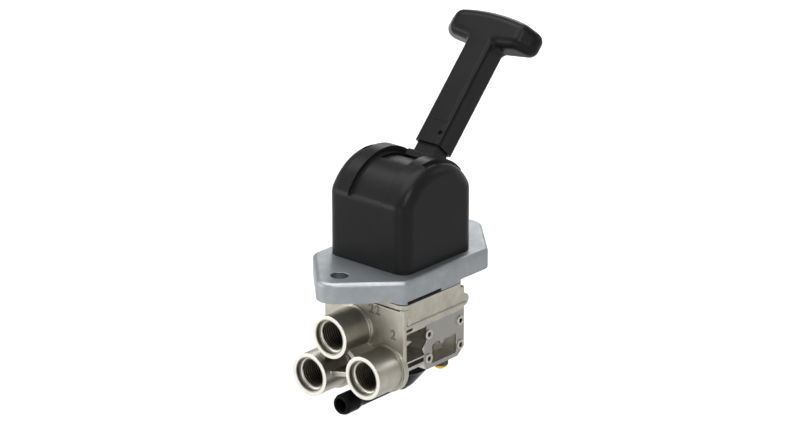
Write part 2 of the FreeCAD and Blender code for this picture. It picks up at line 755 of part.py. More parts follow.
# Valve body: a block on a round barrel, with open pockets on the right side and three ports
valve = new_body("valve_body")
side_view = Profile(valve, "side_outline", "YZ_Plane")
side_view.outline([
    (-body_front, body_top - deck_thickness), (-body_front, -body_bottom_front),
    (-frame_front - 1.5, -body_bottom_front), (-frame_front, -body_bottom_back),
    (body_back - body_back_chamfer, -body_bottom_back),
    (body_back, -body_bottom_back + body_back_chamfer * 0.85),
    (body_back, body_top - deck_thickness)])
pad(valve, "block", side_view, body_width, "both")
round_edges(valve, "block_rounds", 0.8, is_upright)
deck = Profile(valve, "deck_outline", "XY_Plane", body_top)
deck.outline([
    (-half_body + deck_round, -body_front),
    (half_body - deck_round, -body_front, (half_body - deck_round, deck_round - body_front), 1),
    (half_body, deck_round - body_front),
    (half_body, body_back - deck_round, (half_body - deck_round, body_back - deck_round), 1),
    (half_body - deck_round, body_back),
    (-half_body + deck_round, body_back, (deck_round - half_body, body_back - deck_round), 1),
    (-half_body, body_back - deck_round),
    (-half_body, deck_round - body_front, (deck_round - half_body, deck_round - body_front), 1)])
pad(valve, "deck", deck, deck_thickness + 0.5, "down")
bead = Profile(valve, "bead_outline", "YZ_Plane", half_body - 0.5)
bead.rectangle(-body_front + 1, -bead_bottom, body_back, -bead_top)
pad(valve, "side_bead", bead, bead_proud + 0.5)
round_edges(valve, "bead_round", bead_proud * 0.9,
            lambda e: abs(e.BoundBox.XMin - half_body.value - bead_proud.value) < 1e-4
            and abs(e.BoundBox.XMax - half_body.value - bead_proud.value) < 1e-4
            and e.BoundBox.YLength > 5)
back_bead = Profile(valve, "back_bead_outline", "YZ_Plane")
back_bead.circle(body_back, -(bead_top + bead_bottom) / 2 + 2.0, back_bead_radius)
pad(valve, "back_bead", back_bead, body_width, "both")
for name, side, drop, near_end in (
        ("top_port", top_port_side, top_port_drop, front_wall),
        ("right_port", right_port_side, right_port_drop, right_port_root),
        ("left_port", left_port_side, left_port_drop, left_port_root)):
    start = near_end if name != "top_port" else body_front - front_wall
    tube = Profile(valve, name + "_outline", "XZ_Plane", start).circle(side, -drop, port_radius)
    pad(valve, name, tube, port_face - start)
    ring = Profile(valve, name + "_collar_outline", "XZ_Plane", body_front - front_wall)
    ring.circle(side, -drop, port_collar_radius)
    pad(valve, name + "_collar", ring, front_wall + port_collar_height)
for name, first, second in (
        ("upper_web", (top_port_side, -top_port_drop), (right_port_side, -right_port_drop)),
        ("lower_web", (left_port_side, -left_port_drop), (right_port_side, -right_port_drop)),
        ("left_web", (top_port_side, -top_port_drop), (left_port_side, -left_port_drop))):
    step_x = second[0] - first[0]
    step_z = second[1] - first[1]
    length = root(step_x * step_x + step_z * step_z)
    side_x = web_thickness / 2 * step_z / length
    side_z = web_thickness / 2 * step_x / length
    start = body_front - 1 if name != "lower_web" else body_front - 3
    web = Profile(valve, name + "_outline", "XZ_Plane", start)
    web.outline([
        (first[0] + side_x, first[1] - side_z), (second[0] + side_x, second[1] - side_z),
        (second[0] - side_x, second[1] + side_z), (first[0] - side_x, first[1] + side_z)])
    pad(valve, name, web, port_face - web_setback - start)
side_pocket = Profile(valve, "side_pocket_outline", "YZ_Plane", half_body)
pocket_front = front_wall - body_front
side_pocket.outline([
    (pocket_front, -side_pocket_top), (pocket_front, -side_pocket_bottom),
    (-frame_front - 1.6, -side_pocket_bottom), (-frame_front - 3.2, -window_bottom + 9.6),
    (-frame_front, -window_bottom + 13.4), (-frame_front, -side_pocket_top)])
pocket(valve, "side_pocket", side_pocket, side_pocket_depth)
floor_slot = Profile(valve, "floor_slot_outline", "YZ_Plane", half_body)
floor_slot.rectangle(pocket_front, -floor_slot_bottom, -frame_front - 2.0, -floor_slot_top)
pocket(valve, "floor_slot", floor_slot, floor_slot_depth)
bead_notch = Profile(valve, "bead_notch_outline", "YZ_Plane", half_body + bead_proud)
bead_notch.outline([(pocket_front, -bead_notch_bottom), (-bead_notch_back, -bead_notch_bottom + 0.3),
                    (-bead_notch_back, -bead_notch_top), (pocket_front, -bead_notch_top)])
pocket(valve, "bead_notch", bead_notch, bead_notch_depth + bead_proud)
gusset = Profile(valve, "gusset_outline", "YZ_Plane", half_body - 1.0)
gusset.outline([(pocket_front - 0.5, -gusset_drop - gusset_height / 2), (-gusset_tip, -gusset_drop),
                (pocket_front - 0.5, -gusset_drop + gusset_height / 2)])
pad(valve, "gusset", gusset, gusset_thickness, "down")
post = Profile(valve, "post_outline", "YZ_Plane", half_body - 0.5)
post.rectangle(-post_front - post_width / 2, -bead_top - 0.5, -post_front + post_width / 2, -post_top)
pad(valve, "post", post, post_proud + 0.5)
window = Profile(valve, "window_outline", "YZ_Plane", half_body)
window.outline([
    (-window_front, -window_top - 0.6), (-window_front, -window_bottom),
    (window_back, -window_bottom), (window_back, -window_top),
    (window_lobe_middle + window_lobe, -window_top,
     (window_lobe_middle, -window_top), -1),
    (window_lobe_middle - window_lobe, -window_top), (-window_front * 0.45, -window_top + 0.5)])
pocket(valve, "window", window, window_depth)
barrel = Profile(valve, "barrel_outline", "XY_Plane", -side_pocket_top + 1.0).circle(0, 0, barrel_radius)
pad(valve, "barrel", barrel, barrel_bottom - side_pocket_top + 1.0, "down")
pad_bosses = Profile(valve, "pad_boss_outline", "YZ_Plane", half_body - 5)
pad_holes = Profile(valve, "pad_hole_outline", "YZ_Plane", half_body + pad_boss_proud)
for place_y in (-pad_hole_front, pad_hole_back):
    for drop in (pad_hole_top, pad_hole_bottom):
        pad_bosses.circle(place_y, -drop, pad_boss_radius)
        pad_holes.circle(place_y, -drop, pad_hole / 2)
pad(valve, "pad_bosses", pad_bosses, pad_boss_proud + 5)
pocket(valve, "pad_screw_holes", pad_holes, pad_hole_depth)
groove_cut = Profile(valve, "deck_groove_outline", "XY_Plane", body_top - deck_thickness)
groove_cut.rectangle(-half_body - 1, -body_front - 1,
                     half_body - deck_groove_depth, deck_groove_depth - body_front)
pocket(valve, "deck_groove", groove_cut, deck_groove)
main = Profile(valve, "main_bore_outline", "XY_Plane", body_top).circle(0, 0, main_bore / 2)
pocket(valve, "main_bore", main, main_bore_bottom - deck_top)
chamber = Profile(valve, "chamber_outline", "XY_Plane", -main_bore_bottom).circle(0, 0, chamber_diameter / 2)
pocket(valve, "chamber", chamber, barrel_bottom - main_bore_bottom + 1)
lower = Profile(valve, "lower_bore_outline", "XY_Plane", -barrel_bottom).circle(0, 0, lower_bore / 2)
pocket(valve, "lower_bore", lower, barrel_bottom - lower_bore_top, "up")
counterbores = Profile(valve, "counterbore_outline", "XZ_Plane", port_face)
threads = Profile(valve, "thread_outline", "XZ_Plane", port_face - counterbore_depth)
for side, drop in ((top_port_side, top_port_drop), (right_port_side, right_port_drop),
                   (left_port_side, left_port_drop)):
    counterbores.circle(side, -drop, counterbore_diameter / 2)
    threads.circle(side, -drop, thread_bore / 2)
pocket(valve, "counterbores", counterbores, counterbore_depth)
pocket(valve, "thread_bores", threads, thread_depth)
mouth_names = {"top": (top_port_side, top_port_drop), "right": (right_port_side, right_port_drop),
               "left": (left_port_side, left_port_drop)}
for name, (side, drop) in mouth_names.items():
    mouth = Profile(valve, name + "_mouth_outline", "YZ_Plane", side)
    mouth_y = counterbore_depth - port_face
    mouth.outline([(mouth_y - 1, -drop), (mouth_y - 1, -drop + thread_bore / 2 + seat_chamfer),
                   (mouth_y, -drop + thread_bore / 2 + seat_chamfer),
                   (mouth_y + seat_chamfer, -drop + thread_bore / 2 - 0.1), (mouth_y + seat_chamfer, -drop)])
    axis_line = mouth.centre_line(-drop)
    groove(valve, name + "_mouth", mouth, axis_line)
for name, side, drop, length in (
        ("top_passage", top_port_side, top_port_drop, top_passage),
        ("right_passage", right_port_side, right_port_drop, right_passage),
        ("left_passage", left_port_side, left_port_drop, left_passage)):
    passage = Profile(valve, name + "_outline", "XZ_Plane", port_face - counterbore_depth)
    passage.circle(side, -drop, passage_diameter / 2)
    pocket(valve, name, passage, length)
screw_bores = Profile(valve, "screw_bores_outline", "XY_Plane", body_top)
for place_x, place_y in screw_places.values():
    screw_bores.circle(place_x, place_y, body_screw / 2)
pocket(valve, "screw_bores", screw_bores, body_screw_length - body_screw_seat - deck_top + 1)
plug_bore = Profile(valve, "plug_bore_outline", "XY_Plane", -body_bottom_back)
plug_bore.circle(plug_side, plug_back, plug_stem / 2 + running_gap)
pocket(valve, "plug_bore", plug_bore, plug_stem_length + 0.2, "up")

# Screws from the flange down into the body
for place, (place_x, place_y) in screw_places.items():
    screw = new_body("body_screw_" + place)
    head = Profile(screw, "head_outline", "XY_Plane", body_screw_seat).circle(0, 0, body_screw_head / 2)
    pad(screw, "head", head, body_screw_head_height)
    shank = Profile(screw, "shank_outline", "XY_Plane", body_screw_seat).circle(0, 0, body_screw / 2)
    pad(screw, "shank", shank, body_screw_length, "down")
    socket = Profile(screw, "socket_outline", "XY_Plane", flange_thickness)
    across = hex_socket / 2
    flat = across / math.sqrt(3)
    socket.outline([(across, -flat), (across, flat), (0, 2 * flat),
                    (-across, flat), (-across, -flat), (0, -2 * flat)])
    pocket(screw, "socket", socket, hex_socket_depth)
    screw.Placement = Placement(Vector(place_x.value, place_y.value, 0), Rotation())
    screw.setExpression("Placement.Base.x", place_x.text)
    screw.setExpression("Placement.Base.y", place_y.text)

# Cover: an arched shell with a track over its crown and a slot for the lever
cover = new_body("cover")
outside = Profile(cover, "arch_outline", "YZ_Plane")
outside.outline(arch(cover_half_depth, flange_thickness, shoulder_radius, crown_radius, shoulder_height))
pad(cover, "arch", outside, cover_width, "both")
round_edges(cover, "edge_rounds", cover_edge_round,
            lambda e: abs(abs(e.BoundBox.XMin) - cover_half_width.value) < 1e-4
            and e.BoundBox.XLength < 1e-4 and e.BoundBox.ZMax > flange_thickness.value + 1)
crown_level = shoulder_height - root(
    (crown_radius - shoulder_radius) * (crown_radius - shoulder_radius)
    - (cover_half_depth - shoulder_radius) * (cover_half_depth - shoulder_radius))
hood_lean = 90 - hood_start_angle
hood_y = hood_shift * sine(hood_lean)
hood_z = crown_level + hood_shift * cosine(hood_lean)
hood_first = (hood_y - crown_radius * sine(as_size(20.0)), hood_z + crown_radius * cosine(as_size(20.0)))
hood_last = (hood_y + crown_radius * sine(as_size(50.0)), hood_z + crown_radius * cosine(as_size(50.0)))
hood = Profile(cover, "hood_outline", "YZ_Plane")
hood.outline([
    (hood_first[0], hood_first[1] - 6), (hood_last[0] - 4, hood_last[1] - 6),
    (hood_last[0], hood_last[1], (hood_y, hood_z), 1), (hood_first[0], hood_first[1])])
pad(cover, "hood", hood, hood_width, "both")
for hand, sign in (("left", -1), ("right", 1)):
    groove_inner = crown_radius - hood_groove_depth
    groove_outer = crown_radius + 5
    hood_groove = Profile(cover, "hood_groove_outline_" + hand, "YZ_Plane", sign * hood_width / 2)
    hood_groove.outline([
        (-groove_outer * sine(hood_groove_front), crown_level + groove_outer * cosine(hood_groove_front)),
        (-groove_inner * sine(hood_groove_front), crown_level + groove_inner * cosine(hood_groove_front),
         (0, crown_level), -1),
        (groove_inner * sine(hood_groove_back), crown_level + groove_inner * cosine(hood_groove_back)),
        (groove_outer * sine(hood_groove_back), crown_level + groove_outer * cosine(hood_groove_back),
         (0, crown_level), 1)])
    pocket(cover, "hood_groove_" + hand, hood_groove, hood_groove_width, "down" if sign < 0 else "up")
cavity = Profile(cover, "cavity_outline", "YZ_Plane")
shell = track_depth + track_floor
cavity.outline(arch(cover_half_depth - shell, flange_thickness,
                    shoulder_radius - shell, crown_radius - shell, shoulder_height))
pocket(cover, "cavity", cavity, cover_width - 2 * cover_wall, "both")
track = Profile(cover, "track_outline", "YZ_Plane")
lip_y = cover_half_depth + 1
track.outline([
    (cover_half_depth - track_depth, track_bottom),
    (lip_y, track_bottom - track_lip * 1.4), (lip_y, shoulder_height + 30),
    (-lip_y, shoulder_height + 30), (-lip_y, track_bottom - track_lip * 1.4),
    (track_depth - cover_half_depth, track_bottom),
    (-track_radius * sine(as_size(58.0)), crown_level + track_radius * cosine(as_size(58.0)),
     (0, crown_level), -1),
    (track_radius * sine(as_size(58.0)), crown_level + track_radius * cosine(as_size(58.0)))])
pocket(cover, "track", track, track_width, "both")
slot = Profile(cover, "slot_outline", "YZ_Plane")
slot.outline([
    (-20 * sine(slot_front_angle), pivot_height + 20 * cosine(slot_front_angle)),
    (20 * sine(slot_back_angle), pivot_height + 20 * cosine(slot_back_angle)),
    (36 * sine(slot_back_angle), pivot_height + 36 * cosine(slot_back_angle)),
    (0, pivot_height + 44),
    (-36 * sine(slot_front_angle), pivot_height + 36 * cosine(slot_front_angle))])
pocket(cover, "lever_slot", slot, slot_width, "both")
bosses = Profile(cover, "boss_outline", "XY_Plane", flange_thickness)
boss_holes = Profile(cover, "boss_hole_outline", "XY_Plane", flange_thickness)
for place_x, place_y in cover_screw_places.values():
    bosses.circle(place_x, place_y, cover_boss_radius)
    boss_holes.circle(place_x, place_y, cover_screw / 2)
pad(cover, "screw_bosses", bosses, cover_boss_height)
pocket(cover, "boss_holes", boss_holes, cover_screw_length - flange_thickness + cover_head_seat + 1, "up")

# Screws from below the flange up into the cover
for place, (place_x, place_y) in cover_screw_places.items():
    screw = new_body("cover_screw_" + place)
    head = Profile(screw, "head_outline", "XY_Plane", cover_head_seat).circle(0, 0, cover_head / 2)
    pad(screw, "head", head, cover_head_height, "down")
    shank = Profile(screw, "shank_outline", "XY_Plane", cover_head_seat).circle(0, 0, cover_screw / 2)
    pad(screw, "shank", shank, cover_screw_length)
    screw.Placement = Placement(Vector(place_x.value, place_y.value, 0), Rotation())
    screw.setExpression("Placement.Base.x", place_x.text)
    screw.setExpression("Placement.Base.y", place_y.text)

# Shaft, bushes and clips
shaft = new_body("pivot_shaft")
shaft_radius = shaft_diameter / 2
clip_start = cheek_outside + running_gap
clip_end = clip_start + clip_thickness
shaft_tip = clip_end + shaft_end
groove_radius = shaft_radius - clip_groove_depth
shaft_view = Profile(shaft, "outline", "XY_Plane")
shaft_view.outline([
    (-shaft_tip, 0), (shaft_tip, 0), (shaft_tip, shaft_radius), (clip_end, shaft_radius),
    (clip_end, groove_radius), (clip_start, groove_radius), (clip_start, shaft_radius),
    (-clip_start, shaft_radius), (-clip_start, groove_radius), (-clip_end, groove_radius),
    (-clip_end, shaft_radius), (-shaft_tip, shaft_radius)])
turn(shaft, "rod", shaft_view, "H_Axis")
place_on_pivot(shaft, False)
for hand, sign in (("left", -1), ("right", 1)):
    bush = new_body("bush_" + hand)
    bush_view = Profile(bush, "outline", "XY_Plane")
    bore = shaft_radius + running_gap
    bush_view.outline([
        (sign * (cheek_inside - bush_collar), bore), (sign * cheek_outside, bore),
        (sign * cheek_outside, bush_radius), (sign * cheek_inside, bush_radius),
        (sign * cheek_inside, bush_collar_radius),
        (sign * (cheek_inside - bush_collar), bush_collar_radius)])
    turn(bush, "sleeve", bush_view, "H_Axis")
    place_on_pivot(bush, False)
    clip = new_body("shaft_clip_" + hand)
    clip_view = Profile(clip, "outline", "XY_Plane")
    clip_view.rectangle(sign * clip_start, groove_radius, sign * clip_end, clip_radius)
    turn(clip, "ring", clip_view, "H_Axis")
    place_on_pivot(clip, False)
spacer = new_body("spacer_sleeve")
spacer_view = Profile(spacer, "outline", "XY_Plane")
spacer_view.rectangle(fork_width / 2 + slide_gap, shaft_radius + running_gap,
                      cheek_inside - bush_collar - slide_gap, bush_collar_radius - 0.6)
turn(spacer, "tube", spacer_view, "H_Axis")
place_on_pivot(spacer, False)

# Cam on the shaft, leaning with the lever's rest angle
cam = new_body("cam")
cam_y = -cam_offset * cosine(cam_start_angle)
cam_z = cam_offset * sine(cam_start_angle)
cam_view = Profile(cam, "outline", "YZ_Plane").circle(cam_y, cam_z, cam_radius)
pad(cam, "disc", cam_view, cam_width, "both")
cam_bore = Profile(cam, "bore", "YZ_Plane").circle(0, 0, shaft_radius)
pocket(cam, "shaft_bore", cam_bore, cam_width + 2, "both")
place_on_pivot(cam, False)

# Lever: a fork on the shaft, a square stem and a collar over the slot
lever = new_body("lever_stem")
fork = Profile(lever, "fork_outline", "YZ_Plane")
fork_half = stem_depth / 2
fork_meet = root(fork_radius * fork_radius - fork_half * fork_half)
fork.outline([
    (-fork_half, fork_meet, (0, 0), 1), (fork_half, fork_meet),
    (fork_half, fork_top), (-fork_half, fork_top)])
pad(lever, "fork", fork, fork_width, "both")
throat = Profile(lever, "throat_outline", "YZ_Plane")
throat.rectangle(-fork_radius - 1, -fork_radius - 1, fork_radius + 1, fork_crotch)
pocket(lever, "throat", throat, fork_slot, "both")
eye = Profile(lever, "eye_outline", "YZ_Plane").circle(0, 0, shaft_radius)
pocket(lever, "shaft_eye", eye, fork_width + 2, "both")
post = Profile(lever, "post_outline", "XY_Plane", fork_top)
post.rectangle(-stem_width / 2, -fork_half, stem_width / 2, fork_half)
pad(lever, "post", post, stem_top - fork_top)
skirt = Profile(lever, "collar_outline", "XY_Plane", collar_bottom)
skirt.rectangle(-collar_width / 2, -collar_depth / 2, collar_width / 2, collar_depth / 2)
pad(lever, "collar", skirt, collar_top - collar_bottom)
round_edges(lever, "collar_rounds", 1.0,
            lambda e: flat_at(e, collar_top.value)
            and max(abs(e.BoundBox.XMin), abs(e.BoundBox.XMax)) > collar_width.value / 2 - 1e-3)
spring_bore = Profile(lever, "bore_outline", "XY_Plane", stem_top).circle(0, 0, stem_bore / 2)
pocket(lever, "spring_bore", spring_bore, stem_top - stem_bore_bottom)
place_on_pivot(lever, True)

# Shield that follows the lever under the cover
shield = new_body("slot_shield")
front = shield_front_angle
back = shield_back_angle
shield_view = Profile(shield, "outline", "YZ_Plane")
shield_view.outline([
    (-shield_inside * sine(front), shield_inside * cosine(front), (0, 0), -1),
    (shield_inside * sine(back), shield_inside * cosine(back)),
    (shield_outside * sine(back), shield_outside * cosine(back), (0, 0), 1),
    (-shield_outside * sine(front), shield_outside * cosine(front))])
pad(shield, "plate", shield_view, shield_width, "both")
shield_window = Profile(shield, "window_outline", "XY_Plane", shield_outside + 1)
shield_window.rectangle(-stem_width / 2, -stem_depth / 2, stem_width / 2, stem_depth / 2)
pocket(shield, "stem_window", shield_window, shield_thickness + 4)
place_on_pivot(shield, True)

# Grip: a square column under a crowned cross bar
grip = new_body("grip")
head_half = head_length / 2
grip_front = grip_depth / 2
column_half = grip_width / 2
end_top = head_top - head_end_drop
end_bottom = head_underside + head_end_rise
crown_bar_radius = (head_half * head_half + head_end_drop * head_end_drop) / (2 * head_end_drop)
flare_side = column_half + head_flare
flare_level = head_underside - head_flare
bar = Profile(grip, "bar_outline", "XZ_Plane")
bar.outline([
    (-column_half, flare_level), (column_half, flare_level, (flare_side, flare_level), -1),
    (flare_side, head_underside), (head_half, end_bottom),
    (head_half, end_top, (0, head_top - crown_bar_radius), 1), (-head_half, end_top),
    (-head_half, end_bottom), (-flare_side, head_underside, (-flare_side, flare_level), -1)])
pad(grip, "bar", bar, 40, "both")
plan = Profile(grip, "plan_outline", "XY_Plane", head_top + 1)
plan.rectangle(-head_half - 5, -25, head_half + 5, 25)
tip_x = head_half - head_tip_round
tip_y = head_back - head_tip_round
corner_x = tip_x - (tip_y + grip_front - head_tip_round)
corner_y = head_tip_round - grip_front
diagonal = head_tip_round * sine(as_size(45.0))
plan.outline([
    (-corner_x, -grip_front), (corner_x, -grip_front, (corner_x, corner_y), 1),
    (corner_x + diagonal, corner_y - diagonal), (tip_x + diagonal, tip_y - diagonal, (tip_x, tip_y), 1),
    (tip_x, head_back), (-tip_x, head_back, (-tip_x, tip_y), 1),
    (-tip_x - diagonal, tip_y - diagonal),
    (-corner_x - diagonal, corner_y - diagonal, (-corner_x, corner_y), 1)])
pocket(grip, "plan", plan, head_top - head_underside + 8)
round_edges(grip, "bar_rounds", head_edge_round,
            lambda e: not is_upright(e) and e.BoundBox.XLength > 1e-3
            and (e.BoundBox.ZMin > end_top.value - 1
                 or flare_level.value + 1e-3 < e.BoundBox.ZMax < end_bottom.value + 1))
column = Profile(grip, "column_outline", "XY_Plane", grip_bottom)
column.outline([
    (-column_half + grip_edge_round, -grip_front),
    (column_half - grip_edge_round, -grip_front,
     (column_half - grip_edge_round, grip_edge_round - grip_front), 1),
    (column_half, grip_edge_round - grip_front),
    (column_half, grip_front - grip_edge_round,
     (column_half - grip_edge_round, grip_front - grip_edge_round), 1),
    (column_half - grip_edge_round, grip_front),
    (-column_half + grip_edge_round, grip_front,
     (grip_edge_round - column_half, grip_front - grip_edge_round), 1),
    (-column_half, grip_front - grip_edge_round),
    (-column_half, grip_edge_round - grip_front,
     (grip_edge_round - column_half, grip_edge_round - grip_front), 1)])
pad(grip, "column", column, head_underside + 8.5 - grip_bottom)
hollow = Profile(grip, "hollow_outline", "XY_Plane", grip_bottom)
hollow.rectangle(-stem_width / 2 - slide_gap, -stem_depth / 2 - slide_gap,
                 stem_width / 2 + slide_gap, stem_depth / 2 + slide_gap)
pocket(grip, "hollow", hollow, grip_roof - grip_bottom, "up")
rod_seat = Profile(grip, "rod_seat_outline", "XY_Plane", grip_roof).circle(0, 0, rod_diameter / 2)
pocket(grip, "rod_seat", rod_seat, rod_seat_depth, "up")
pin_mark = Profile(grip, "pin_hole_outline", "XZ_Plane", grip_front)
pin_mark.circle(pin_hole_side, grip_bottom + pin_hole_rise, pin_hole / 2)
pocket(grip, "pin_hole", pin_mark, pin_hole_depth)
parting = Profile(grip, "parting_outline", "XZ_Plane", grip_front)
parting.rectangle(-column_half - 1, grip_bottom + parting_rise, column_half + 1,
                  grip_bottom + parting_rise + parting_width)
pocket(grip, "parting_line", parting, parting_depth)
place_on_pivot(grip, True)

# Rod that pulls the grip down on its spring, and the cap that the spring pushes on
rod = new_body("grip_rod")
rod_head = Profile(rod, "head_outline", "XY_Plane", rod_head_bottom).circle(0, 0, rod_head_diameter / 2)
pad(rod, "head", rod_head, rod_head_length)
rod_shank = Profile(rod, "shank_outline", "XY_Plane", rod_head_top).circle(0, 0, rod_diameter / 2)
pad(rod, "shank", rod_shank, grip_roof + rod_seat_depth - rod_head_top)
place_on_pivot(rod, True)
cap = new_body("stem_cap")
cap_view = Profile(cap, "outline", "XZ_Plane")
cap_view.rectangle(rod_diameter / 2 + slide_gap, stem_top - stem_cap_length, stem_bore / 2, stem_top)
turn(cap, "ring", cap_view)
place_on_pivot(cap, True)

# Tappet and its lower spring seat
tappet = new_body("tappet")
tappet_view = Profile(tappet, "outline", "XZ_Plane")
tappet_view.outline([
    (0, seat_plate_bottom), (tappet_diameter / 4, seat_plate_bottom), (tappet_diameter / 4, seat_plate_top),
    (tappet_diameter / 2, seat_plate_top), (tappet_diameter / 2, tappet_head_bottom),
    (tappet_head_radius, tappet_head_bottom), (tappet_head_radius, tappet_top), (0, tappet_top)])
turn(tappet, "plunger", tappet_view)
seat = new_body("spring_seat")
seat_view = Profile(seat, "outline", "XZ_Plane")
seat_view.rectangle(tappet_diameter / 4, seat_plate_bottom, seat_plate_radius, seat_plate_top)
turn(seat, "washer", seat_view)

# Piston, its ring and the inlet valve
piston = new_body("piston")
piston_radius = main_bore / 2 - piston_gap
piston_bottom = -piston_top - piston_height
ring_middle = -piston_top - piston_height / 2
ring_floor = piston_radius - ring_wire + 0.3
piston_view = Profile(piston, "outline", "XZ_Plane")
piston_view.outline([
    (0, -valve_disc_top), (piston_tube_radius, -valve_disc_top), (piston_tube_radius, piston_bottom),
    (piston_radius, piston_bottom), (piston_radius, ring_middle - ring_wire / 2),
    (ring_floor, ring_middle - ring_wire / 2), (ring_floor, ring_middle + ring_wire / 2),
    (piston_radius, ring_middle + ring_wire / 2), (piston_radius, -piston_top), (0, -piston_top)])
turn(piston, "piston", piston_view)
piston_ring = new_body("piston_ring")
ring_view = Profile(piston_ring, "outline", "XZ_Plane")
ring_half_height = ring_wire / 2 - 0.15
ring_view.rectangle(ring_floor, ring_middle - ring_half_height, piston_radius, ring_middle + ring_half_height)
turn(piston_ring, "ring", ring_view)
inlet = new_body("inlet_valve")
guide_top = -lower_bore_top
guide_bottom = guide_top - guide_thickness
inlet_view = Profile(inlet, "outline", "XZ_Plane")
inlet_view.outline([
    (0, guide_bottom - 0.6), (valve_stem_radius, guide_bottom - 0.6),
    (valve_stem_radius, -valve_disc_top - valve_disc_height),
    (valve_disc_radius, -valve_disc_top - valve_disc_height),
    (valve_disc_radius, -valve_disc_top), (0, -valve_disc_top)])
turn(inlet, "poppet", inlet_view)
guide = new_body("valve_guide")
guide_view = Profile(guide, "outline", "XZ_Plane")
guide_view.rectangle(valve_stem_radius + running_gap, guide_bottom, lower_bore / 2, guide_top)
turn(guide, "disc", guide_view)

# Exhaust elbow with a barbed hose spigot
elbow = new_body("exhaust_elbow")
elbow_radius = lower_bore / 2 - spigot_fit
spigot_ring_middle = (guide_bottom - barrel_bottom) / 2 - 0.2
spigot_ring_floor = elbow_radius - spigot_ring_wire + 0.2
elbow_view = Profile(elbow, "outline", "XZ_Plane")
elbow_view.outline([
    (0, -elbow_height - elbow_bottom_radius),
    (elbow_bottom_radius * 0.6, -elbow_height - elbow_bottom_radius),
    (elbow_corner_radius, -elbow_height - 1.5),
    (elbow_disc_rim, -barrel_bottom - elbow_disc_height - 1.5),
    (elbow_disc_radius, -barrel_bottom - elbow_disc_height), (elbow_disc_radius, -barrel_bottom),
    (elbow_radius, -barrel_bottom), (elbow_radius, spigot_ring_middle - spigot_ring_wire / 2),
    (spigot_ring_floor, spigot_ring_middle - spigot_ring_wire / 2),
    (spigot_ring_floor, spigot_ring_middle + spigot_ring_wire / 2),
    (elbow_radius, spigot_ring_middle + spigot_ring_wire / 2), (elbow_radius, guide_bottom - 0.1),
    (0, guide_bottom - 0.1)])
turn(elbow, "bowl", elbow_view)
pipe = Profile(elbow, "pipe_outline", "XZ_Plane").circle(0, -elbow_height, pipe_radius)
pad(elbow, "pipe", pipe, pipe_face - barb_length)
barb = Profile(elbow, "barb_outline", "XY_Plane", -elbow_height)
barb_start = -pipe_face + barb_length
barb.outline([
    (0, -pipe_face), (barb_radius - 0.7, -pipe_face), (barb_radius, barb_taper * 0.5 - pipe_face),
    (barb_radius, barb_start), (pipe_radius, barb_start + barb_taper), (0, barb_start + barb_taper)])
turn(elbow, "barb", barb, "V_Axis")
pipe_hole = Profile(elbow, "pipe_bore_outline", "XZ_Plane", pipe_face)
pipe_hole.circle(0, -elbow_height, pipe_bore / 2 - 0.5)
pocket(elbow, "pipe_bore", pipe_hole, pipe_face)
down_hole = Profile(elbow, "down_bore_outline", "XY_Plane", guide_bottom - 0.1).circle(0, 0, elbow_bore / 2)
pocket(elbow, "down_bore", down_hole, elbow_height + guide_bottom + 1)
elbow_ring = new_body("elbow_ring")
elbow_ring_view = Profile(elbow_ring, "outline", "XZ_Plane")
spigot_ring_half = spigot_ring_wire / 2 - 0.1
elbow_ring_view.rectangle(spigot_ring_floor, spigot_ring_middle - spigot_ring_half,
                          elbow_radius, spigot_ring_middle + spigot_ring_half)
turn(elbow_ring, "ring", elbow_ring_view)

# Vent plug and its ring under the right side
plug_ring = new_body("plug_ring")
plug_ring_view = Profile(plug_ring, "outline", "XY_Plane", -body_bottom_back)
plug_ring_view.circle(plug_side, plug_back, plug_ring_radius)
pad(plug_ring, "ring", plug_ring_view, plug_ring_height, "down")
plug_ring_hole = Profile(plug_ring, "hole", "XY_Plane", -body_bottom_back)
plug_ring_hole.circle(plug_side, plug_back, plug_stem / 2)
pocket(plug_ring, "stem_hole", plug_ring_hole, plug_ring_height)
plug = new_body("vent_plug")
plug_seat = -body_bottom_back - plug_ring_height
plug_view = Profile(plug, "outline", "XZ_Plane")
plug_view.outline([
    (0, plug_seat - plug_height), (plug_radius * 0.6, plug_seat - plug_height),
    (plug_radius, plug_seat - plug_height * 0.45), (plug_radius, plug_seat),
    (plug_stem / 2, plug_seat), (plug_stem / 2, plug_stem_length - body_bottom_back),
    (0, plug_stem_length - body_bottom_back)])
turn(plug, "plug", plug_view)
plug.Placement = Placement(Vector(plug_side.value, plug_back.value, 0), Rotation())
plug.setExpression("Placement.Base.x", plug_side.text)
plug.setExpression("Placement.Base.y", plug_back.text)

# Springs
doc.recompute()
coil("tappet_spring", tappet_spring_radius, tappet_spring_wire, spring_floor, tappet_head_bottom,
     tappet_spring_turns)
coil("main_spring", main_spring_radius, main_spring_wire, -piston_top, seat_plate_bottom,
     main_spring_turns)
coil("valve_spring", valve_spring_radius, valve_spring_wire, guide_top,
     -valve_disc_top - valve_disc_height, valve_spring_turns)
lever_placement = Placement(Vector(0, 0, pivot_height.value), Rotation(Vector(1, 0, 0), -lever_tilt.value))
coil("grip_spring", (rod_diameter + rod_head_diameter) / 4 + slide_gap, grip_spring_wire, rod_head_top,
     stem_top - stem_cap_length, grip_spring_turns, lever_placement)
return_length = cheek_inside - bush_collar - fork_width / 2
coil("lever_spring", return_spring_radius, return_spring_wire, slide_gap, return_length - slide_gap,
     return_spring_turns,
     Placement(Vector(-(cheek_inside.value - bush_collar.value), 0, pivot_height.value),
               Rotation(Vector(0, 1, 0), 90)))

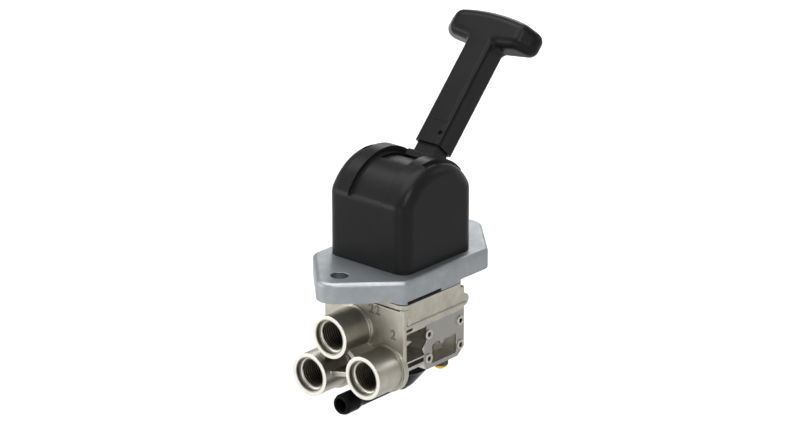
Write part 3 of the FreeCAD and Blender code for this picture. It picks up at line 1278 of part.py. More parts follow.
doc.recompute()
problems = []
for thing in doc.Objects:
    if "Invalid" in thing.State or "Error" in thing.State:
        problems.append("%s is %s" % (thing.Label, thing.State))
for body in bodies:
    if body.Shape.isNull() or not body.Shape.isValid() or len(body.Shape.Solids) != 1:
        problems.append("%s has no single valid solid" % body.Label)
if problems:
    raise RuntimeError("; ".join(problems))

os.makedirs("parts", exist_ok=True)
for body in bodies:
    body.Shape.exportStep("parts/%s.step" % body.Label)
print("%d pieces written" % len(bodies))
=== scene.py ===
"""Looks of the parking brake valve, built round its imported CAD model.

Metres, +Z up. The three ports face -Y, the lever turns about X, and the origin lies on the
underside of the mounting flange between its two holes.
"""
import logging
import math
from dataclasses import dataclass, field
from enum import Enum
from functools import reduce

import bpy
from mathutils import Matrix, Vector


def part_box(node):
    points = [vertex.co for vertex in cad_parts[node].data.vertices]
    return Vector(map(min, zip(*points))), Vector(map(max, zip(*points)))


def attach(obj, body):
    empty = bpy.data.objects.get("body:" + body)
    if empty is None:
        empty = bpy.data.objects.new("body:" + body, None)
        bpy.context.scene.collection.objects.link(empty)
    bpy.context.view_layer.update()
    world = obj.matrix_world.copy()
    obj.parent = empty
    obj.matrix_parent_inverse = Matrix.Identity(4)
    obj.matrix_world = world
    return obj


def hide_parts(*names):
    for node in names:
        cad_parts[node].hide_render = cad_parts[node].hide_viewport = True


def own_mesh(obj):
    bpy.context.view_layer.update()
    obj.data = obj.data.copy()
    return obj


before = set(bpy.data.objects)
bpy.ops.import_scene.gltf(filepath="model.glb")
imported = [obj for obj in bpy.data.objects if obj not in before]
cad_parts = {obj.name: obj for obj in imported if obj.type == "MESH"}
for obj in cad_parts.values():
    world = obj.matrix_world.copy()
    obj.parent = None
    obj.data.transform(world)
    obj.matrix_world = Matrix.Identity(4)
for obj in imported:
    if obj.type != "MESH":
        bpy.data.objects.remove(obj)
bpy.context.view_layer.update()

LOG = logging.getLogger("parking_brake_valve")
MM = 0.001


class Value:
    """A number over the surface. Arithmetic on it adds the Math nodes that work it out."""

    def __init__(self, graph: "Graph", socket: bpy.types.NodeSocket) -> None:
        """Wrap one output socket of a graph."""
        self.graph = graph
        self.socket = socket

    def math(self, operation: str, *others: "Value | float", clamp: bool = False) -> "Value":
        """Add one Math node.

        Args:
            operation: The node's operation.
            others: The second and third operands.
            clamp: Keep the result between 0 and 1.

        Returns:
            The node's result.
        """
        settings = {"operation": operation, "use_clamp": clamp}
        made = self.graph.node("ShaderNodeMath", settings, dict(enumerate((self, *others))))
        return Value(self.graph, made.outputs[0])

    def __add__(self, other: "Value | float") -> "Value":
        """Sum."""
        return self.math("ADD", other)

    def __sub__(self, other: "Value | float") -> "Value":
        """Difference."""
        return self.math("SUBTRACT", other)

    def __rsub__(self, other: float) -> "Value":
        """Difference with the number first."""
        return (self * -1.0).math("ADD", other)

    def __mul__(self, other: "Value | float") -> "Value":
        """Product."""
        return self.math("MULTIPLY", other)

    def __truediv__(self, other: "Value | float") -> "Value":
        """Quotient."""
        return self.math("DIVIDE", other)

    def __pow__(self, other: float) -> "Value":
        """Power."""
        return self.math("POWER", other)

    def below(self, limit: float, soft: float = 0.02 * MM) -> "Value":
        """1 where the value is under a limit and 0 over it, with a soft edge."""
        return ((self * -1.0 + limit) / soft).math("ADD", 0.5, clamp=True)

    def above(self, limit: float, soft: float = 0.02 * MM) -> "Value":
        """1 where the value is over a limit and 0 under it, with a soft edge."""
        return ((self - limit) / soft).math("ADD", 0.5, clamp=True)

    def clamped(self) -> "Value":
        """The value kept between 0 and 1."""
        return self.math("ADD", 0.0, clamp=True)

    def most(self, other: "Value") -> "Value":
        """The larger of two values."""
        return self.math("MAXIMUM", other)


class Graph:
    """The nodes of one material, or of the surroundings."""

    def __init__(self, owner: "bpy.types.Material | bpy.types.World") -> None:
        """Start with no nodes on a new material or world."""
        self.owner = owner
        owner.use_nodes = True
        self.tree = owner.node_tree
        self.tree.nodes.clear()

    @classmethod
    def of_material(cls, name: str) -> "Graph":
        """Start an empty material of this name."""
        return cls(bpy.data.materials.new(name))

    def node(self, kind: str, settings: dict[str, object] | None = None,
             inputs: dict[str | int, object] | None = None) -> bpy.types.Node:
        """Add a node.

        Args:
            kind: The node's type.
            settings: Its own settings, which are set first.
            inputs: What its sockets hold: a Value, a socket to link, or a constant.

        Returns:
            The new node.
        """
        made = self.tree.nodes.new(kind)
        for key, value in (settings or {}).items():
            setattr(made, key, value)
        for key, value in (inputs or {}).items():
            if isinstance(value, Value):
                self.tree.links.new(value.socket, made.inputs[key])
            elif isinstance(value, bpy.types.NodeSocket):
                self.tree.links.new(value, made.inputs[key])
            else:
                made.inputs[key].default_value = value
        return made

    def place(self) -> bpy.types.NodeSocket:
        """The Object coordinates."""
        return self.node("ShaderNodeTexCoord").outputs["Object"]

    def along(self) -> tuple[Value, Value, Value]:
        """The three Object coordinates as values."""
        parts = self.node("ShaderNodeSeparateXYZ", None, {0: self.place()})
        return tuple(Value(self, parts.outputs[n]) for n in range(3))

    def noise(self, size: float, detail: float = 3.0, rough: float = 0.55,
              stretch: tuple[float, float, float] = (1.0, 1.0, 1.0)) -> Value:
        """A noise pattern.

        Args:
            size: The size of its patches in metres.
            detail: How many finer layers it has.
            rough: How strong the finer layers are.
            stretch: Factors on the three axes; a smaller one draws the pattern out.

        Returns:
            The noise, about 0.5 on average.
        """
        mapped = self.node("ShaderNodeMapping", None, {"Vector": self.place(), "Scale": stretch})
        made = self.node("ShaderNodeTexNoise", None, {
            "Vector": mapped.outputs[0], "Scale": 1.0 / size, "Detail": detail, "Roughness": rough})
        return Value(self, made.outputs["Fac"])

    def ramp(self, value: Value, low: float, high: float) -> Value:
        """A value drawn out so that low becomes 0 and high becomes 1."""
        made = self.node("ShaderNodeMapRange", {"clamp": True}, {
            "Value": value, "From Min": low, "From Max": high})
        return Value(self, made.outputs[0])

    def blend(self, share: Value, first: object, second: object) -> bpy.types.NodeSocket:
        """A colour between two colours.

        Args:
            share: 0 for the first colour and 1 for the second.
            first: A colour or a colour socket.
            second: A colour or a colour socket.

        Returns:
            The mixed colour.
        """
        made = self.node("ShaderNodeMix", {"data_type": "RGBA"})
        self.tree.links.new(share.socket, made.inputs[0])
        for index, colour in ((6, first), (7, second)):
            if isinstance(colour, bpy.types.NodeSocket):
                self.tree.links.new(colour, made.inputs[index])
            else:
                made.inputs[index].default_value = (*colour, 1.0)
        return made.outputs[2]

    def softened(self, radius: float) -> bpy.types.NodeSocket:
        """The normal with the edges rounded by this radius."""
        return self.node("ShaderNodeBevel", {"samples": 6}, {"Radius": radius}).outputs[0]

    def edges(self, radius: float) -> Value:
        """A mask that is 1 along edges and 0 on open surface."""
        flat = self.node("ShaderNodeNewGeometry").outputs["Normal"]
        made = self.node("ShaderNodeVectorMath", {"operation": "DOT_PRODUCT"},
                         {0: self.softened(radius), 1: flat})
        return (1.0 - Value(self, made.outputs["Value"])).math("MULTIPLY", 6.0, clamp=True)

    def bump(self, height: Value, distance: float, strength: float, edge: float) -> bpy.types.NodeSocket:
        """A normal shaped by a height, with the edges rounded.

        Args:
            height: The height over the surface, 0 to 1.
            distance: How high 1 stands, in metres.
            strength: How strongly it acts.
            edge: The radius of the rounded edges.

        Returns:
            The shaped normal.
        """
        made = self.node("ShaderNodeBump", None, {
            "Height": height, "Distance": distance, "Strength": strength, "Normal": self.softened(edge)})
        return made.outputs[0]

    def finish(self, inputs: dict[str | int, object]) -> bpy.types.Material:
        """Join the surface shader and return the material."""
        shader = self.node("ShaderNodeBsdfPrincipled", None, inputs)
        self.node("ShaderNodeOutputMaterial", None, {"Surface": shader.outputs[0]})
        return self.owner


@dataclass(frozen=True)
class MouldedPlastic:
    """Black or coloured plastic with a fine grain, rubbed a little brighter along its edges."""

    name: str
    colour: tuple[float, float, float]
    worn: tuple[float, float, float]
    roughness: float = 0.42
    grain: float = 0.35 * MM
    grain_height: float = 0.02 * MM
    edge: float = 0.5 * MM
    cloud_size: float = 14.0 * MM
    dust_size: float = 2.2 * MM
    rub_size: float = 3.0 * MM
    rub_lift: float = 1.9
    specular: float = 0.075

    def build(self) -> bpy.types.Material:
        """Make the material."""
        graph = Graph.of_material(self.name)
        cloudy = graph.noise(self.cloud_size, detail=2.0)
        grain = graph.noise(self.grain, detail=2.0, rough=0.6)
        dust = graph.ramp(graph.noise(self.dust_size, detail=5.0, rough=0.7), low=0.52, high=0.75)
        rubbed = graph.edges(self.edge) * graph.ramp(graph.noise(self.rub_size), low=0.35, high=0.7)
        base = graph.blend(cloudy * 0.5 + dust * 0.15, self.colour, self.worn)
        colour = graph.blend(rubbed * 0.5, base, tuple(self.rub_lift * c for c in self.worn))
        roughness = cloudy * 0.12 + grain * 0.1 + dust * 0.06 - rubbed * 0.1 + (self.roughness - 0.11)
        normal = graph.bump(grain, self.grain_height, strength=0.6, edge=self.edge)
        return graph.finish({"Base Color": colour, "Roughness": roughness.clamped(), "Normal": normal,
                             "Specular IOR Level": self.specular})


@dataclass(frozen=True)
class CastMetal:
    """Cast or blasted metal: a fine orange-peel skin, patches of tone and brighter edges."""

    name: str
    colour: tuple[float, float, float]
    dull: tuple[float, float, float]
    bright: tuple[float, float, float]
    roughness: float = 0.42
    grain: float = 0.5 * MM
    grain_height: float = 0.03 * MM
    edge: float = 0.6 * MM
    patch_size: float = 9.0 * MM
    swell_size: float = 2.6 * MM
    rub_size: float = 2.0 * MM

    def skin(self, graph: Graph) -> tuple[bpy.types.NodeSocket, Value, Value]:
        """The cast skin.

        Args:
            graph: The material that it goes into.

        Returns:
            Its colour, its roughness and its height.
        """
        patches = graph.ramp(graph.noise(self.patch_size, detail=4.0, rough=0.6), low=0.3, high=0.75)
        grain = graph.noise(self.grain, rough=0.6)
        swell = graph.noise(self.swell_size, detail=2.0)
        bright = graph.edges(self.edge) * graph.ramp(graph.noise(self.rub_size), low=0.25, high=0.6)
        base = graph.blend(patches, self.colour, self.dull)
        colour = graph.blend(bright * 0.7, base, self.bright)
        roughness = patches * 0.08 + grain * 0.12 - bright * 0.12 + (self.roughness - 0.1)
        return colour, roughness.clamped(), grain * 0.6 + swell * 0.4

    def build(self) -> bpy.types.Material:
        """Make the material."""
        graph = Graph.of_material(self.name)
        colour, roughness, height = self.skin(graph)
        normal = graph.bump(height, self.grain_height, strength=0.6, edge=self.edge)
        return graph.finish({"Base Color": colour, "Roughness": roughness, "Normal": normal,
                             "Metallic": 1.0})


@dataclass(frozen=True)
class MachinedCasting(CastMetal):
    """The body's casting, with the port faces and the side pad cut bright by a tool, painted shade in the
    bores and on the counterbore steps, and painted light inside the side pockets.
    """

    cut: tuple[float, float, float] = (0.62, 0.6, 0.54)
    # Painted light: the side pockets' insides are coloured lighter than the casting, for light that
    # reaches into them.
    pocket_painted_light: tuple[float, float, float] = (0.52, 0.505, 0.46)
    cut_pad: tuple[float, float, float] = (0.215, 0.212, 0.205)
    # Painted shade: the bores are coloured nearly black for the shade inside them.
    bore_painted_shade: tuple[float, float, float] = (0.045, 0.038, 0.03)
    # Painted shade: the counterbore steps are coloured darker than the casting for the shade in the
    # recess.
    step_painted_shade: tuple[float, float, float] = (0.25, 0.24, 0.215)
    ports: tuple[tuple[float, float], ...] = ()
    port_face: float = -46.1 * MM
    port_radius: float = 11.4 * MM
    face_inside: float = 9.35 * MM
    lip_radius: float = 8.1 * MM
    lip_face: float = -43.35 * MM
    bore_radius: float = 7.3 * MM
    bore_end: float = -24.0 * MM
    ring_turn: float = 9000.0
    ring_slope: float = 5200.0
    ring_rough: float = 0.08
    ring_height: float = 0.25
    cut_rough: float = 0.3
    pad_cover: float = 0.85
    pad_smooth: float = 0.7
    pad_face: float = 26.3 * MM
    pad_proud: float = 26.6 * MM
    pad_front: float = -12.4 * MM
    pad_top: float = -19.3 * MM
    cavity_face: float = 25.2 * MM
    cavity_inner: float = 9.0 * MM
    cavity_front: float = -25.5 * MM
    cavity_top: float = -19.5 * MM

    def port_cuts(self, x: Value, y: Value, z: Value) -> tuple[Value, Value, Value, Value]:
        """Where the tool has cut the ports.

        Args:
            x: The place across the valve.
            y: The place along the ports' axes.
            z: The height.

        Returns:
            Masks of the turned faces, the bores and the steps, and the tool's rings on the faces.
        """
        faces, bores, steps, rings = [], [], [], []
        for port_x, port_z in self.ports:
            reach = ((x - port_x) ** 2.0 + (z - port_z) ** 2.0) ** 0.5
            face = (reach.below(self.port_radius) * reach.above(self.face_inside, soft=0.15 * MM)
                    * y.below(self.port_face))
            lip = reach.below(self.lip_radius) * reach.above(self.bore_radius) * y.below(self.lip_face)
            faces.append(face.most(lip))
            bores.append(reach.below(self.bore_radius) * y.below(self.bore_end))
            steps.append(reach.below(self.face_inside) * y.below(self.lip_face) * (1.0 - lip))
            wave = (reach * self.ring_turn + y * self.ring_slope).math("SINE")
            rings.append((wave * 0.5 + 0.5) * faces[-1])
        return (reduce(Value.most, faces), reduce(Value.most, bores), reduce(Value.most, steps),
                reduce(Value.__add__, rings))

    def build(self) -> bpy.types.Material:
        """Make the material."""
        graph = Graph.of_material(self.name)
        colour, roughness, height = self.skin(graph)
        x, y, z = graph.along()
        turned, inside, shaded_steps, rings = self.port_cuts(x, y, z)
        pad = (x.above(self.pad_face) * y.above(self.pad_front) * z.below(self.pad_top)
               * x.below(self.pad_proud))
        # Painted light: inside the side pockets the colour is lifted lighter than the casting.
        pocket_painted_light = (x.above(self.cavity_inner) * x.below(self.cavity_face, soft=0.6 * MM)
                  * y.above(self.cavity_front) * z.below(self.cavity_top))
        colour = graph.blend(pocket_painted_light, colour, self.pocket_painted_light)
        # Painted shade on the counterbore steps.
        colour = graph.blend(shaded_steps, colour, self.step_painted_shade)
        # Painted shade inside the bores.
        colour = graph.blend(inside, colour, self.bore_painted_shade)
        colour = graph.blend(turned, colour, self.cut)
        colour = graph.blend(pad * self.pad_cover, colour, self.cut_pad)
        roughness = roughness * (1.0 - turned) + turned * (rings * self.ring_rough + self.cut_rough)
        height = height * (1.0 - turned) * (1.0 - pad * self.pad_smooth) + rings * self.ring_height
        normal = graph.bump(height, self.grain_height, strength=0.6, edge=self.edge)
        return graph.finish({"Base Color": colour, "Roughness": roughness.clamped(), "Normal": normal,
                             "Metallic": 1.0})


class Lay(Enum):
    """Which way a turned or drawn part's fine lines run."""

    ROUND_X = 0
    ROUND_Y = 1
    ROUND_Z = 2
    NONE = 3


@dataclass(frozen=True)
class TurnedMetal:
    """Turned, drawn or plated metal with fine tool lines across its axis."""

    name: str
    colour: tuple[float, float, float]
    stained: tuple[float, float, float]
    lay: Lay = Lay.NONE
    roughness: float = 0.3
    edge: float = 0.2 * MM
    line_size: float = 0.25 * MM
    line_height: float = 0.008 * MM
    patch_size: float = 5.0 * MM
    drawn_out: float = 0.05
    rub_lift: float = 1.35

    def build(self) -> bpy.types.Material:
        """Make the material."""
        graph = Graph.of_material(self.name)
        stretch = tuple(1.0 if self.lay in (Lay.NONE, lay) else self.drawn_out
                        for lay in (Lay.ROUND_X, Lay.ROUND_Y, Lay.ROUND_Z))
        lines = graph.noise(self.line_size, rough=0.6, stretch=stretch)
        patches = graph.ramp(graph.noise(self.patch_size, detail=4.0), low=0.4, high=0.75)
        bright = graph.edges(self.edge)
        base = graph.blend(patches * 0.6, self.colour, self.stained)
        colour = graph.blend(bright * 0.4, base, tuple(min(1.0, self.rub_lift * c) for c in self.colour))
        roughness = lines * 0.18 + patches * 0.08 + (self.roughness - 0.12)
        normal = graph.bump(lines, self.line_height, strength=0.5, edge=self.edge)
        return graph.finish({"Base Color": colour, "Roughness": roughness.clamped(), "Normal": normal,
                             "Metallic": 1.0})


@dataclass(frozen=True)
class MouldedRubber:
    """Dark rubber with a dull bloom."""

    name: str
    colour: tuple[float, float, float] = (0.018, 0.018, 0.019)
    bloom: tuple[float, float, float] = (0.05, 0.05, 0.052)
    roughness: float = 0.68
    patch_size: float = 3.0 * MM
    skin_size: float = 0.3 * MM
    skin_height: float = 0.02 * MM
    edge: float = 0.2 * MM

    def build(self) -> bpy.types.Material:
        """Make the material."""
        graph = Graph.of_material(self.name)
        patches = graph.ramp(graph.noise(self.patch_size, detail=4.0, rough=0.65), low=0.4, high=0.8)
        skin = graph.noise(self.skin_size, detail=2.0)
        colour = graph.blend(patches * 0.6, self.colour, self.bloom)
        roughness = patches * 0.1 + skin * 0.1 + (self.roughness - 0.1)
        normal = graph.bump(skin, self.skin_height, strength=0.5, edge=self.edge)
        return graph.finish({"Base Color": colour, "Roughness": roughness.clamped(), "Normal": normal})


def dress(node: str, material: bpy.types.Material) -> None:
    """Give a CAD node its finish."""
    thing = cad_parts[node]
    thing.data.materials.clear()
    thing.data.materials.append(material)
    LOG.info("dressed %s", node)


def clear_selection() -> None:
    """Leave object mode with nothing selected."""
    if bpy.context.object is not None and bpy.context.object.mode != "OBJECT":
        bpy.ops.object.mode_set(mode="OBJECT")
    bpy.ops.object.select_all(action="DESELECT")


def settle(piece: bpy.types.Object, name: str, material: bpy.types.Material, body: str) -> None:
    """Bring a new piece's place into its mesh and join it to its body.

    Args:
        piece: The finished mesh object.
        name: Its name.
        material: Its finish.
        body: The CAD body that it rides on.
    """
    piece.name = name
    piece.data.name = name
    piece.data.transform(piece.matrix_world)
    piece.matrix_world = Matrix.Identity(4)
    piece.data.materials.clear()
    piece.data.materials.append(material)
    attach(piece, body)
    LOG.info("made %s with %d faces", name, len(piece.data.polygons))


@dataclass
class LeverTop:
    """The arched cover, its shield, the lever and the grip."""

    cover_black: MouldedPlastic = MouldedPlastic(
        "cover_black", (0.0062, 0.0063, 0.0066), (0.0105, 0.0105, 0.011), 0.33)
    grip_black: MouldedPlastic = MouldedPlastic(
        "grip_black", (0.005, 0.005, 0.0053), (0.0085, 0.0085, 0.0089), 0.31)
    shield_black: MouldedPlastic = MouldedPlastic(
        "shield_black", (0.0062, 0.0062, 0.0064), (0.0105, 0.0105, 0.0107), 0.4)
    stem_black: MouldedPlastic = MouldedPlastic(
        "stem_black", (0.007, 0.007, 0.0073), (0.012, 0.012, 0.012), 0.34)

    def dress(self) -> None:
        """Give the cover, shield, lever and grip their finishes."""
        dress("cover", self.cover_black.build())
        dress("grip", self.grip_black.build())
        dress("slot_shield", self.shield_black.build())
        stem = self.stem_black.build()
        for node in ("lever_stem", "stem_cap"):
            dress(node, stem)


@dataclass
class MountingPlate:
    """The pointed flange with its gasket and screws."""

    plate_grey: CastMetal = CastMetal(
        "plate_grey", (0.262, 0.278, 0.290), (0.218, 0.232, 0.243), (0.31, 0.326, 0.337), 0.50,
        grain=0.35 * MM, grain_height=0.02 * MM, edge=0.5 * MM)
    zinc: TurnedMetal = TurnedMetal("screw_zinc", (0.6, 0.6, 0.61), (0.48, 0.48, 0.47), Lay.ROUND_Z)
    gasket_black: MouldedRubber = MouldedRubber("gasket_black")

    def dress(self) -> None:
        """Give the flange, gasket and screws their finishes."""
        dress("mounting_flange", self.plate_grey.build())
        dress("flange_gasket", self.gasket_black.build())
        zinc = self.zinc.build()
        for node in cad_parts:
            if "_screw_" in node:
                dress(node, zinc)


@dataclass
class Casting:
    """The valve body with its three ports, their threads and their cast numerals."""

    ports: tuple[tuple[float, float], ...] = ((-6.5 * MM, -24.0 * MM), (15.4 * MM, -39.9 * MM),
                                              (-20.1 * MM, -47.8 * MM))
    face: float = -46.2 * MM
    counterbore: float = 2.6 * MM
    thread_radius: float = 7.25 * MM
    thread_rise: float = 0.35 * MM
    thread_inset: float = 0.42 * MM
    pitch: float = 1.5 * MM
    turns: int = 8
    steps_a_turn: int = 40
    front_wall: float = -27.8 * MM
    numeral_height: float = 4.8 * MM
    text_scale: float = 1.4
    numeral_proud: float = 0.35 * MM
    numeral_edge: float = 0.12 * MM
    numeral_spacing: float = 1.25
    numerals: tuple[tuple[str, float, float], ...] = (("22", 6.9 * MM, -11.2 * MM),
                                                      ("2", 19.2 * MM, -21.6 * MM))
    mark: CastMetal = CastMetal(
        "cast_mark", (0.20, 0.19, 0.163), (0.16, 0.151, 0.13), (0.38, 0.36, 0.315), 0.45,
        grain=0.4 * MM, grain_height=0.02 * MM, edge=0.15 * MM)
    # Painted shade: the threads are coloured dark for the shade inside the bores.
    thread_painted_shade: TurnedMetal = TurnedMetal(
        "thread_painted_shade", (0.10, 0.088, 0.07), (0.06, 0.05, 0.04), Lay.ROUND_Y, 0.42)
    skin: MachinedCasting = field(init=False)

    def __post_init__(self) -> None:
        """Choose the casting's finish."""
        self.skin = MachinedCasting(
            "body_casting", (0.375, 0.357, 0.311), (0.285, 0.27, 0.233), (0.60, 0.575, 0.515), 0.40,
            grain=0.5 * MM, grain_height=0.035 * MM, edge=0.6 * MM, ports=self.ports)

    def dress(self) -> None:
        """Give the casting its finish."""
        dress("valve_body", self.skin.build())

    def thread(self) -> bpy.types.Object:
        """Model one thread ridge about the Y axis, with its mouth at y = 0."""
        clear_selection()
        bpy.ops.mesh.primitive_circle_add(vertices=3, radius=self.thread_rise, enter_editmode=False,
                                          rotation=(0.0, 0.0, math.pi / 2))
        piece = bpy.context.object
        bpy.ops.object.transform_apply(location=False, rotation=True, scale=True)
        bpy.ops.object.mode_set(mode="EDIT")
        bpy.ops.mesh.select_all(action="SELECT")
        bpy.ops.transform.translate(value=(-self.thread_radius, self.thread_inset, 0.0))
        bpy.ops.object.mode_set(mode="OBJECT")
        twist = piece.modifiers.new("turns", "SCREW")
        twist.axis = "Y"
        twist.screw_offset = self.pitch
        twist.iterations = self.turns
        twist.steps = twist.render_steps = self.steps_a_turn
        twist.use_merge_vertices = False
        bpy.ops.object.modifier_apply(modifier=twist.name)
        bpy.ops.object.mode_set(mode="EDIT")
        bpy.ops.mesh.select_all(action="SELECT")
        bpy.ops.mesh.normals_make_consistent(inside=False)
        bpy.ops.object.mode_set(mode="OBJECT")
        return piece

    def numbers(self) -> None:
        """Raise the port numbers on the front wall."""
        material = self.mark.build()
        for text, centre_x, centre_z in self.numerals:
            clear_selection()
            bpy.ops.object.text_add(location=(0.0, 0.0, 0.0))
            piece = bpy.context.object
            piece.data.body = text
            piece.data.size = self.text_scale * self.numeral_height
            piece.data.align_x = "CENTER"
            piece.data.align_y = "CENTER"
            piece.data.space_character = self.numeral_spacing
            piece.data.extrude = self.numeral_proud
            piece.data.bevel_depth = self.numeral_edge
            piece.data.bevel_resolution = 2
            bpy.ops.object.convert(target="MESH")
            piece = bpy.context.object
            piece.matrix_world = (Matrix.Translation((centre_x, self.front_wall, centre_z))
                                  @ Matrix.Rotation(math.pi / 2, 4, "X"))
            settle(piece, "port_number_" + text, material, "valve")

    def threads(self) -> None:
        """Put a thread into each port."""
        material = self.thread_painted_shade.build()
        first = self.thread()
        for name, (port_x, port_z) in zip(("top", "right", "left"), self.ports):
            piece = first.copy()
            piece.data = first.data.copy()
            bpy.context.scene.collection.objects.link(piece)
            piece.matrix_world = Matrix.Translation((port_x, self.face + self.counterbore, port_z))
            settle(piece, "port_thread_" + name, material, "valve")
        bpy.data.objects.remove(first)


@dataclass(frozen=True)
class Spring:
    """One compression spring of round wire, drawn upright and laid along its own axis."""

    node: str
    body: str
    joint: str
    radius: float
    wire: float
    low: float
    high: float
    turns: float
    shorter: float
    fixed_high: bool
    foot: tuple[float, float, float] = (0.0, 0.0, 0.0)
    lean: float = 0.0
    steps_a_turn: int = 28

    def lay(self) -> Matrix:
        """The spring's place: its axis leans back about X, from its foot."""
        return Matrix.Translation(self.foot) @ Matrix.Rotation(-self.lean, 4, "X")

    def wind(self) -> bpy.types.Object:
        """Wind the wire upright about Z.

        Returns:
            The spring, with flat-ground ends.
        """
        clear_selection()
        bpy.ops.mesh.primitive_circle_add(vertices=10, radius=self.wire / 2, fill_type="NOTHING",
                                          rotation=(math.pi / 2, 0.0, 0.0))
        piece = bpy.context.object
        bpy.ops.object.transform_apply(location=False, rotation=True, scale=True)
        bpy.ops.object.mode_set(mode="EDIT")
        bpy.ops.mesh.select_all(action="SELECT")
        bpy.ops.transform.translate(value=(self.radius, 0.0, self.low + self.wire / 2))
        bpy.ops.object.mode_set(mode="OBJECT")
        coil = piece.modifiers.new("coil", "SCREW")
        coil.axis = "Z"
        coil.angle = 2 * math.pi * self.turns
        coil.screw_offset = self.high - self.low - self.wire
        coil.iterations = 1
        coil.steps = coil.render_steps = int(self.steps_a_turn * self.turns)
        coil.use_merge_vertices = False
        bpy.ops.object.modifier_apply(modifier=coil.name)
        bpy.ops.object.mode_set(mode="EDIT")
        bpy.ops.mesh.select_all(action="SELECT")
        bpy.ops.mesh.fill_holes(sides=0)
        bpy.ops.mesh.select_all(action="SELECT")
        bpy.ops.mesh.normals_make_consistent(inside=False)
        bpy.ops.object.mode_set(mode="OBJECT")
        bpy.ops.object.shade_smooth()
        return piece

    def fit(self, material: bpy.types.Material) -> None:
        """Wind the spring and put it in place of its CAD node."""
        piece = self.wind()
        piece.matrix_world = self.lay()
        settle(piece, self.node + "_wound", material, self.body)
        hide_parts(self.node)
        axis = self.lay().to_3x3() @ Vector((0.0, 0.0, 1.0))
        anchor = self.lay() @ Vector((0.0, 0.0, self.high if self.fixed_high else self.low))
        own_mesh(piece)


@dataclass
class Train:
    """The shaft, cam, tappet, springs, piston and poppet inside the housing."""

    steel: TurnedMetal = TurnedMetal("shaft_steel", (0.58, 0.58, 0.59), (0.45, 0.44, 0.43), Lay.ROUND_X)
    wire: TurnedMetal = TurnedMetal("spring_wire", (0.42, 0.42, 0.43), (0.3, 0.29, 0.28))
    bronze: TurnedMetal = TurnedMetal("bush_bronze", (0.62, 0.44, 0.24), (0.45, 0.32, 0.18), Lay.ROUND_X)
    piston: TurnedMetal = TurnedMetal("piston_metal", (0.7, 0.7, 0.71), (0.58, 0.58, 0.58), Lay.ROUND_Z)
    seal: MouldedRubber = MouldedRubber("seal_rubber")
    tilt: float = math.radians(43.0)
    pivot: tuple[float, float, float] = (0.0, 0.0, 31.4 * MM)
    springs: tuple[Spring, ...] = field(init=False)

    def __post_init__(self) -> None:
        """List the springs that shorten, from the CAD nodes' own boxes where they stand upright."""
        tappet_low, tappet_high = (corner[2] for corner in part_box("tappet_spring"))
        valve_low, valve_high = (corner[2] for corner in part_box("valve_spring"))
        main_low, main_high = (corner[2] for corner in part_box("main_spring"))
        self.springs = (
            Spring("tappet_spring", "valve", "tappet_slide", 7.0 * MM, 1.4 * MM, tappet_low, tappet_high,
                   4.0, 2.75 * MM, False),
            Spring("valve_spring", "valve", "piston_slide", 4.0 * MM, 0.7 * MM, valve_low, valve_high,
                   2.0, 1.45 * MM, False),
            Spring("main_spring", "tappet", "piston_slide", 9.5 * MM, 2.0 * MM, main_low, main_high,
                   3.5, 1.45 * MM, True),
            Spring("grip_spring", "lever", "grip_lift", 3.0 * MM, 1.2 * MM, 54.0 * MM, 80.0 * MM,
                   6.0, 4.05 * MM, True, self.pivot, self.tilt),
        )

    def dress(self) -> None:
        """Give the moving pieces their finishes."""
        wire = self.wire.build()
        groups = (
            (self.steel.build(), ("pivot_shaft", "shaft_clip_left", "shaft_clip_right", "cam", "tappet",
                                  "spring_seat", "grip_rod")),
            (wire, ("tappet_spring", "valve_spring", "lever_spring", "grip_spring", "main_spring")),
            (self.bronze.build(), ("bush_left", "bush_right", "spacer_sleeve", "valve_guide")),
            (self.piston.build(), ("piston",)),
            (self.seal.build(), ("piston_ring", "inlet_valve")),
        )
        for material, nodes in groups:
            for node in nodes:
                dress(node, material)
        for spring in self.springs:
            spring.fit(wire)


@dataclass
class Exhaust:
    """The black elbow, its seal, and the yellow vent plug on its ring."""

    elbow: MouldedPlastic = MouldedPlastic(
        "elbow_black", (0.003, 0.003, 0.0032), (0.0045, 0.0045, 0.0047), 0.22, specular=0.035)
    plug: MouldedPlastic = MouldedPlastic(
        "plug_yellow", (0.62, 0.40, 0.012), (0.5, 0.31, 0.01), 0.34, grain_height=0.006 * MM)
    seal: MouldedRubber = MouldedRubber("vent_rubber")

    def dress(self) -> None:
        """Give the elbow, plug and rings their finishes."""
        dress("exhaust_elbow", self.elbow.build())
        dress("vent_plug", self.plug.build())
        seal = self.seal.build()
        for node in ("elbow_ring", "plug_ring"):
            dress(node, seal)


@dataclass(frozen=True)
class SoftLight:
    """A rectangular soft light that looks at the valve."""

    name: str
    place: tuple[float, float, float]
    size: tuple[float, float]
    watts: float
    target: tuple[float, float, float] = (0.0, 0.0, 30.0 * MM)

    def build(self) -> None:
        """Hang the light."""
        light = bpy.data.lights.new(self.name, "AREA")
        light.shape = "RECTANGLE"
        light.size, light.size_y = self.size
        light.energy = self.watts
        lamp = bpy.data.objects.new(self.name, light)
        bpy.context.scene.collection.objects.link(lamp)
        lamp.location = self.place
        lamp.rotation_mode = "QUATERNION"
        lamp.rotation_quaternion = (Vector(self.target) - Vector(self.place)).to_track_quat("-Z", "Y")


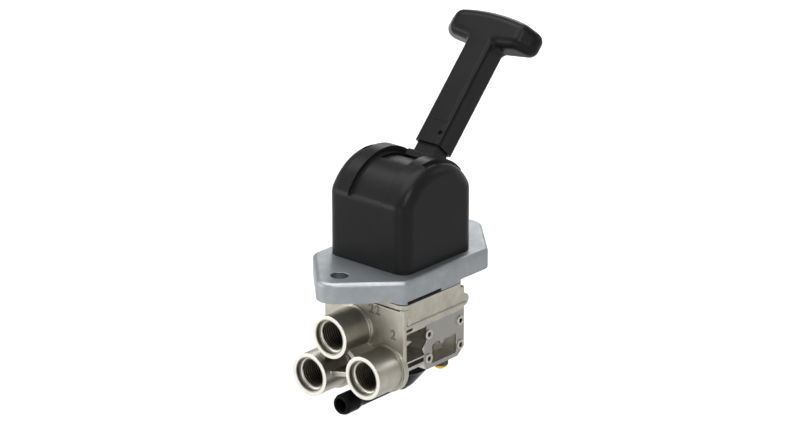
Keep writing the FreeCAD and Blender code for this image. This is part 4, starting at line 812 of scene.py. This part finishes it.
@dataclass
class Studio:
    """A pale floor, soft light and a long lens at the photograph's angle."""

    azimuth: float = 41.0
    elevation: float = 20.4
    distance: float = 1.667
    lens: float = 150.0
    aim_right: float = -0.32 * MM
    aim_up: float = 27.1 * MM
    floor_height: float = -135.0 * MM
    floor_radius: float = 4.0
    floor_near: tuple[float, float, float] = (0.64, 0.64, 0.64)
    floor_far: tuple[float, float, float] = (0.93, 0.93, 0.93)
    near_edge: tuple[float, float] = (0.45, 1.6)
    glow_edge: tuple[float, float] = (0.7, 2.2)
    glow_strength: float = 0.9
    world_light: float = 0.25
    horizon_light: float = 0.75
    fade_low: float = 0.25
    fade_high: float = 0.5
    lights: tuple[SoftLight, ...] = (
        SoftLight("light_top", (-0.25, -0.15, 1.3), (1.3, 1.3), 31.0),
        SoftLight("light_left", (-1.3, -0.7, 0.55), (0.9, 1.1), 6.0),
        SoftLight("light_front", (-1.0, -1.15, 0.05), (0.6, 0.36), 7.0),
        SoftLight("light_right", (0.97, -0.68, 1.07), (0.3, 0.5), 12.0),
        SoftLight("light_low_front", (0.46, -1.32, -0.06), (0.16, 0.12), 2.4),
        SoftLight("light_low_right", (1.4, -0.05, 0.0), (0.25, 0.24), 0.65),
        SoftLight("light_back", (-0.6, 1.3, 0.8), (1.0, 0.7), 9.0),
        SoftLight("light_back_right", (0.78, 1.06, 0.72), (0.35, 0.45), 2.0),
    )

    def camera(self) -> None:
        """Place the camera."""
        turn, tilt = math.radians(self.azimuth), math.radians(self.elevation)
        back = Vector((math.sin(turn) * math.cos(tilt), -math.cos(turn) * math.cos(tilt), math.sin(tilt)))
        right = Vector((math.cos(turn), math.sin(turn), 0.0))
        up = back.cross(right)
        lens = bpy.data.cameras.new("camera")
        lens.lens = self.lens
        lens.sensor_width = 36.0
        lens.clip_start = 0.05
        lens.clip_end = 50.0
        camera = bpy.data.objects.new("camera", lens)
        bpy.context.scene.collection.objects.link(camera)
        camera.location = right * self.aim_right + up * self.aim_up + back * self.distance
        camera.rotation_mode = "QUATERNION"
        camera.rotation_quaternion = (-back).to_track_quat("-Z", "Y")
        bpy.context.scene.camera = camera

    def floor(self) -> None:
        """Lay the floor: coloured darker near the valve, with a painted glow further out that keeps it
        white.
        """
        clear_selection()
        bpy.ops.mesh.primitive_circle_add(vertices=96, radius=self.floor_radius, fill_type="NGON",
                                          location=(0.0, 0.0, self.floor_height))
        floor = bpy.context.object
        floor.name = "floor"
        graph = Graph.of_material("floor_white")
        x, y, _ = graph.along()
        reach = (x * x + y * y) ** 0.5
        away = graph.ramp(reach + graph.noise(0.4, detail=2.0) * 0.02, *self.near_edge)
        colour = graph.blend(away, self.floor_near, self.floor_far)
        # Painted light: the floor further out glows though it is no lamp.
        glow = graph.blend(graph.ramp(reach, *self.glow_edge), (0.0, 0.0, 0.0), self.floor_far)
        floor.data.materials.append(graph.finish({
            "Base Color": colour, "Roughness": 0.9, "Specular IOR Level": 0.1,
            "Emission Color": glow, "Emission Strength": self.glow_strength}))

    def surround(self) -> None:
        """Add surroundings that are white at the horizon and dimmer overhead."""
        graph = Graph(bpy.data.worlds.new("surroundings"))
        direction = graph.node("ShaderNodeTexCoord").outputs["Generated"]
        parts = graph.node("ShaderNodeSeparateXYZ", None, {0: direction})
        fade = graph.node("ShaderNodeMapRange", None, {
            "Value": parts.outputs["Z"], "From Min": self.fade_low, "From Max": self.fade_high,
            "To Min": self.horizon_light, "To Max": self.world_light})
        sky = graph.node("ShaderNodeBackground", None, {"Color": (1.0, 1.0, 1.0, 1.0),
                                                        "Strength": fade.outputs[0]})
        graph.node("ShaderNodeOutputWorld", None, {"Surface": sky.outputs[0]})
        bpy.context.scene.world = graph.owner

    def light(self) -> None:
        """Add the lights and the pale surroundings."""
        for light in self.lights:
            light.build()
        self.surround()
        bpy.context.scene.view_settings.view_transform = "Standard"


def main() -> None:
    """Dress the CAD nodes, add the small pieces and set up the studio."""
    logging.basicConfig(level=logging.INFO, format="%(message)s")
    LeverTop().dress()
    MountingPlate().dress()
    casting = Casting()
    casting.dress()
    casting.numbers()
    casting.threads()
    Train().dress()
    Exhaust().dress()
    studio = Studio()
    studio.floor()
    studio.light()
    studio.camera()


if __name__ == "__main__":
    main()
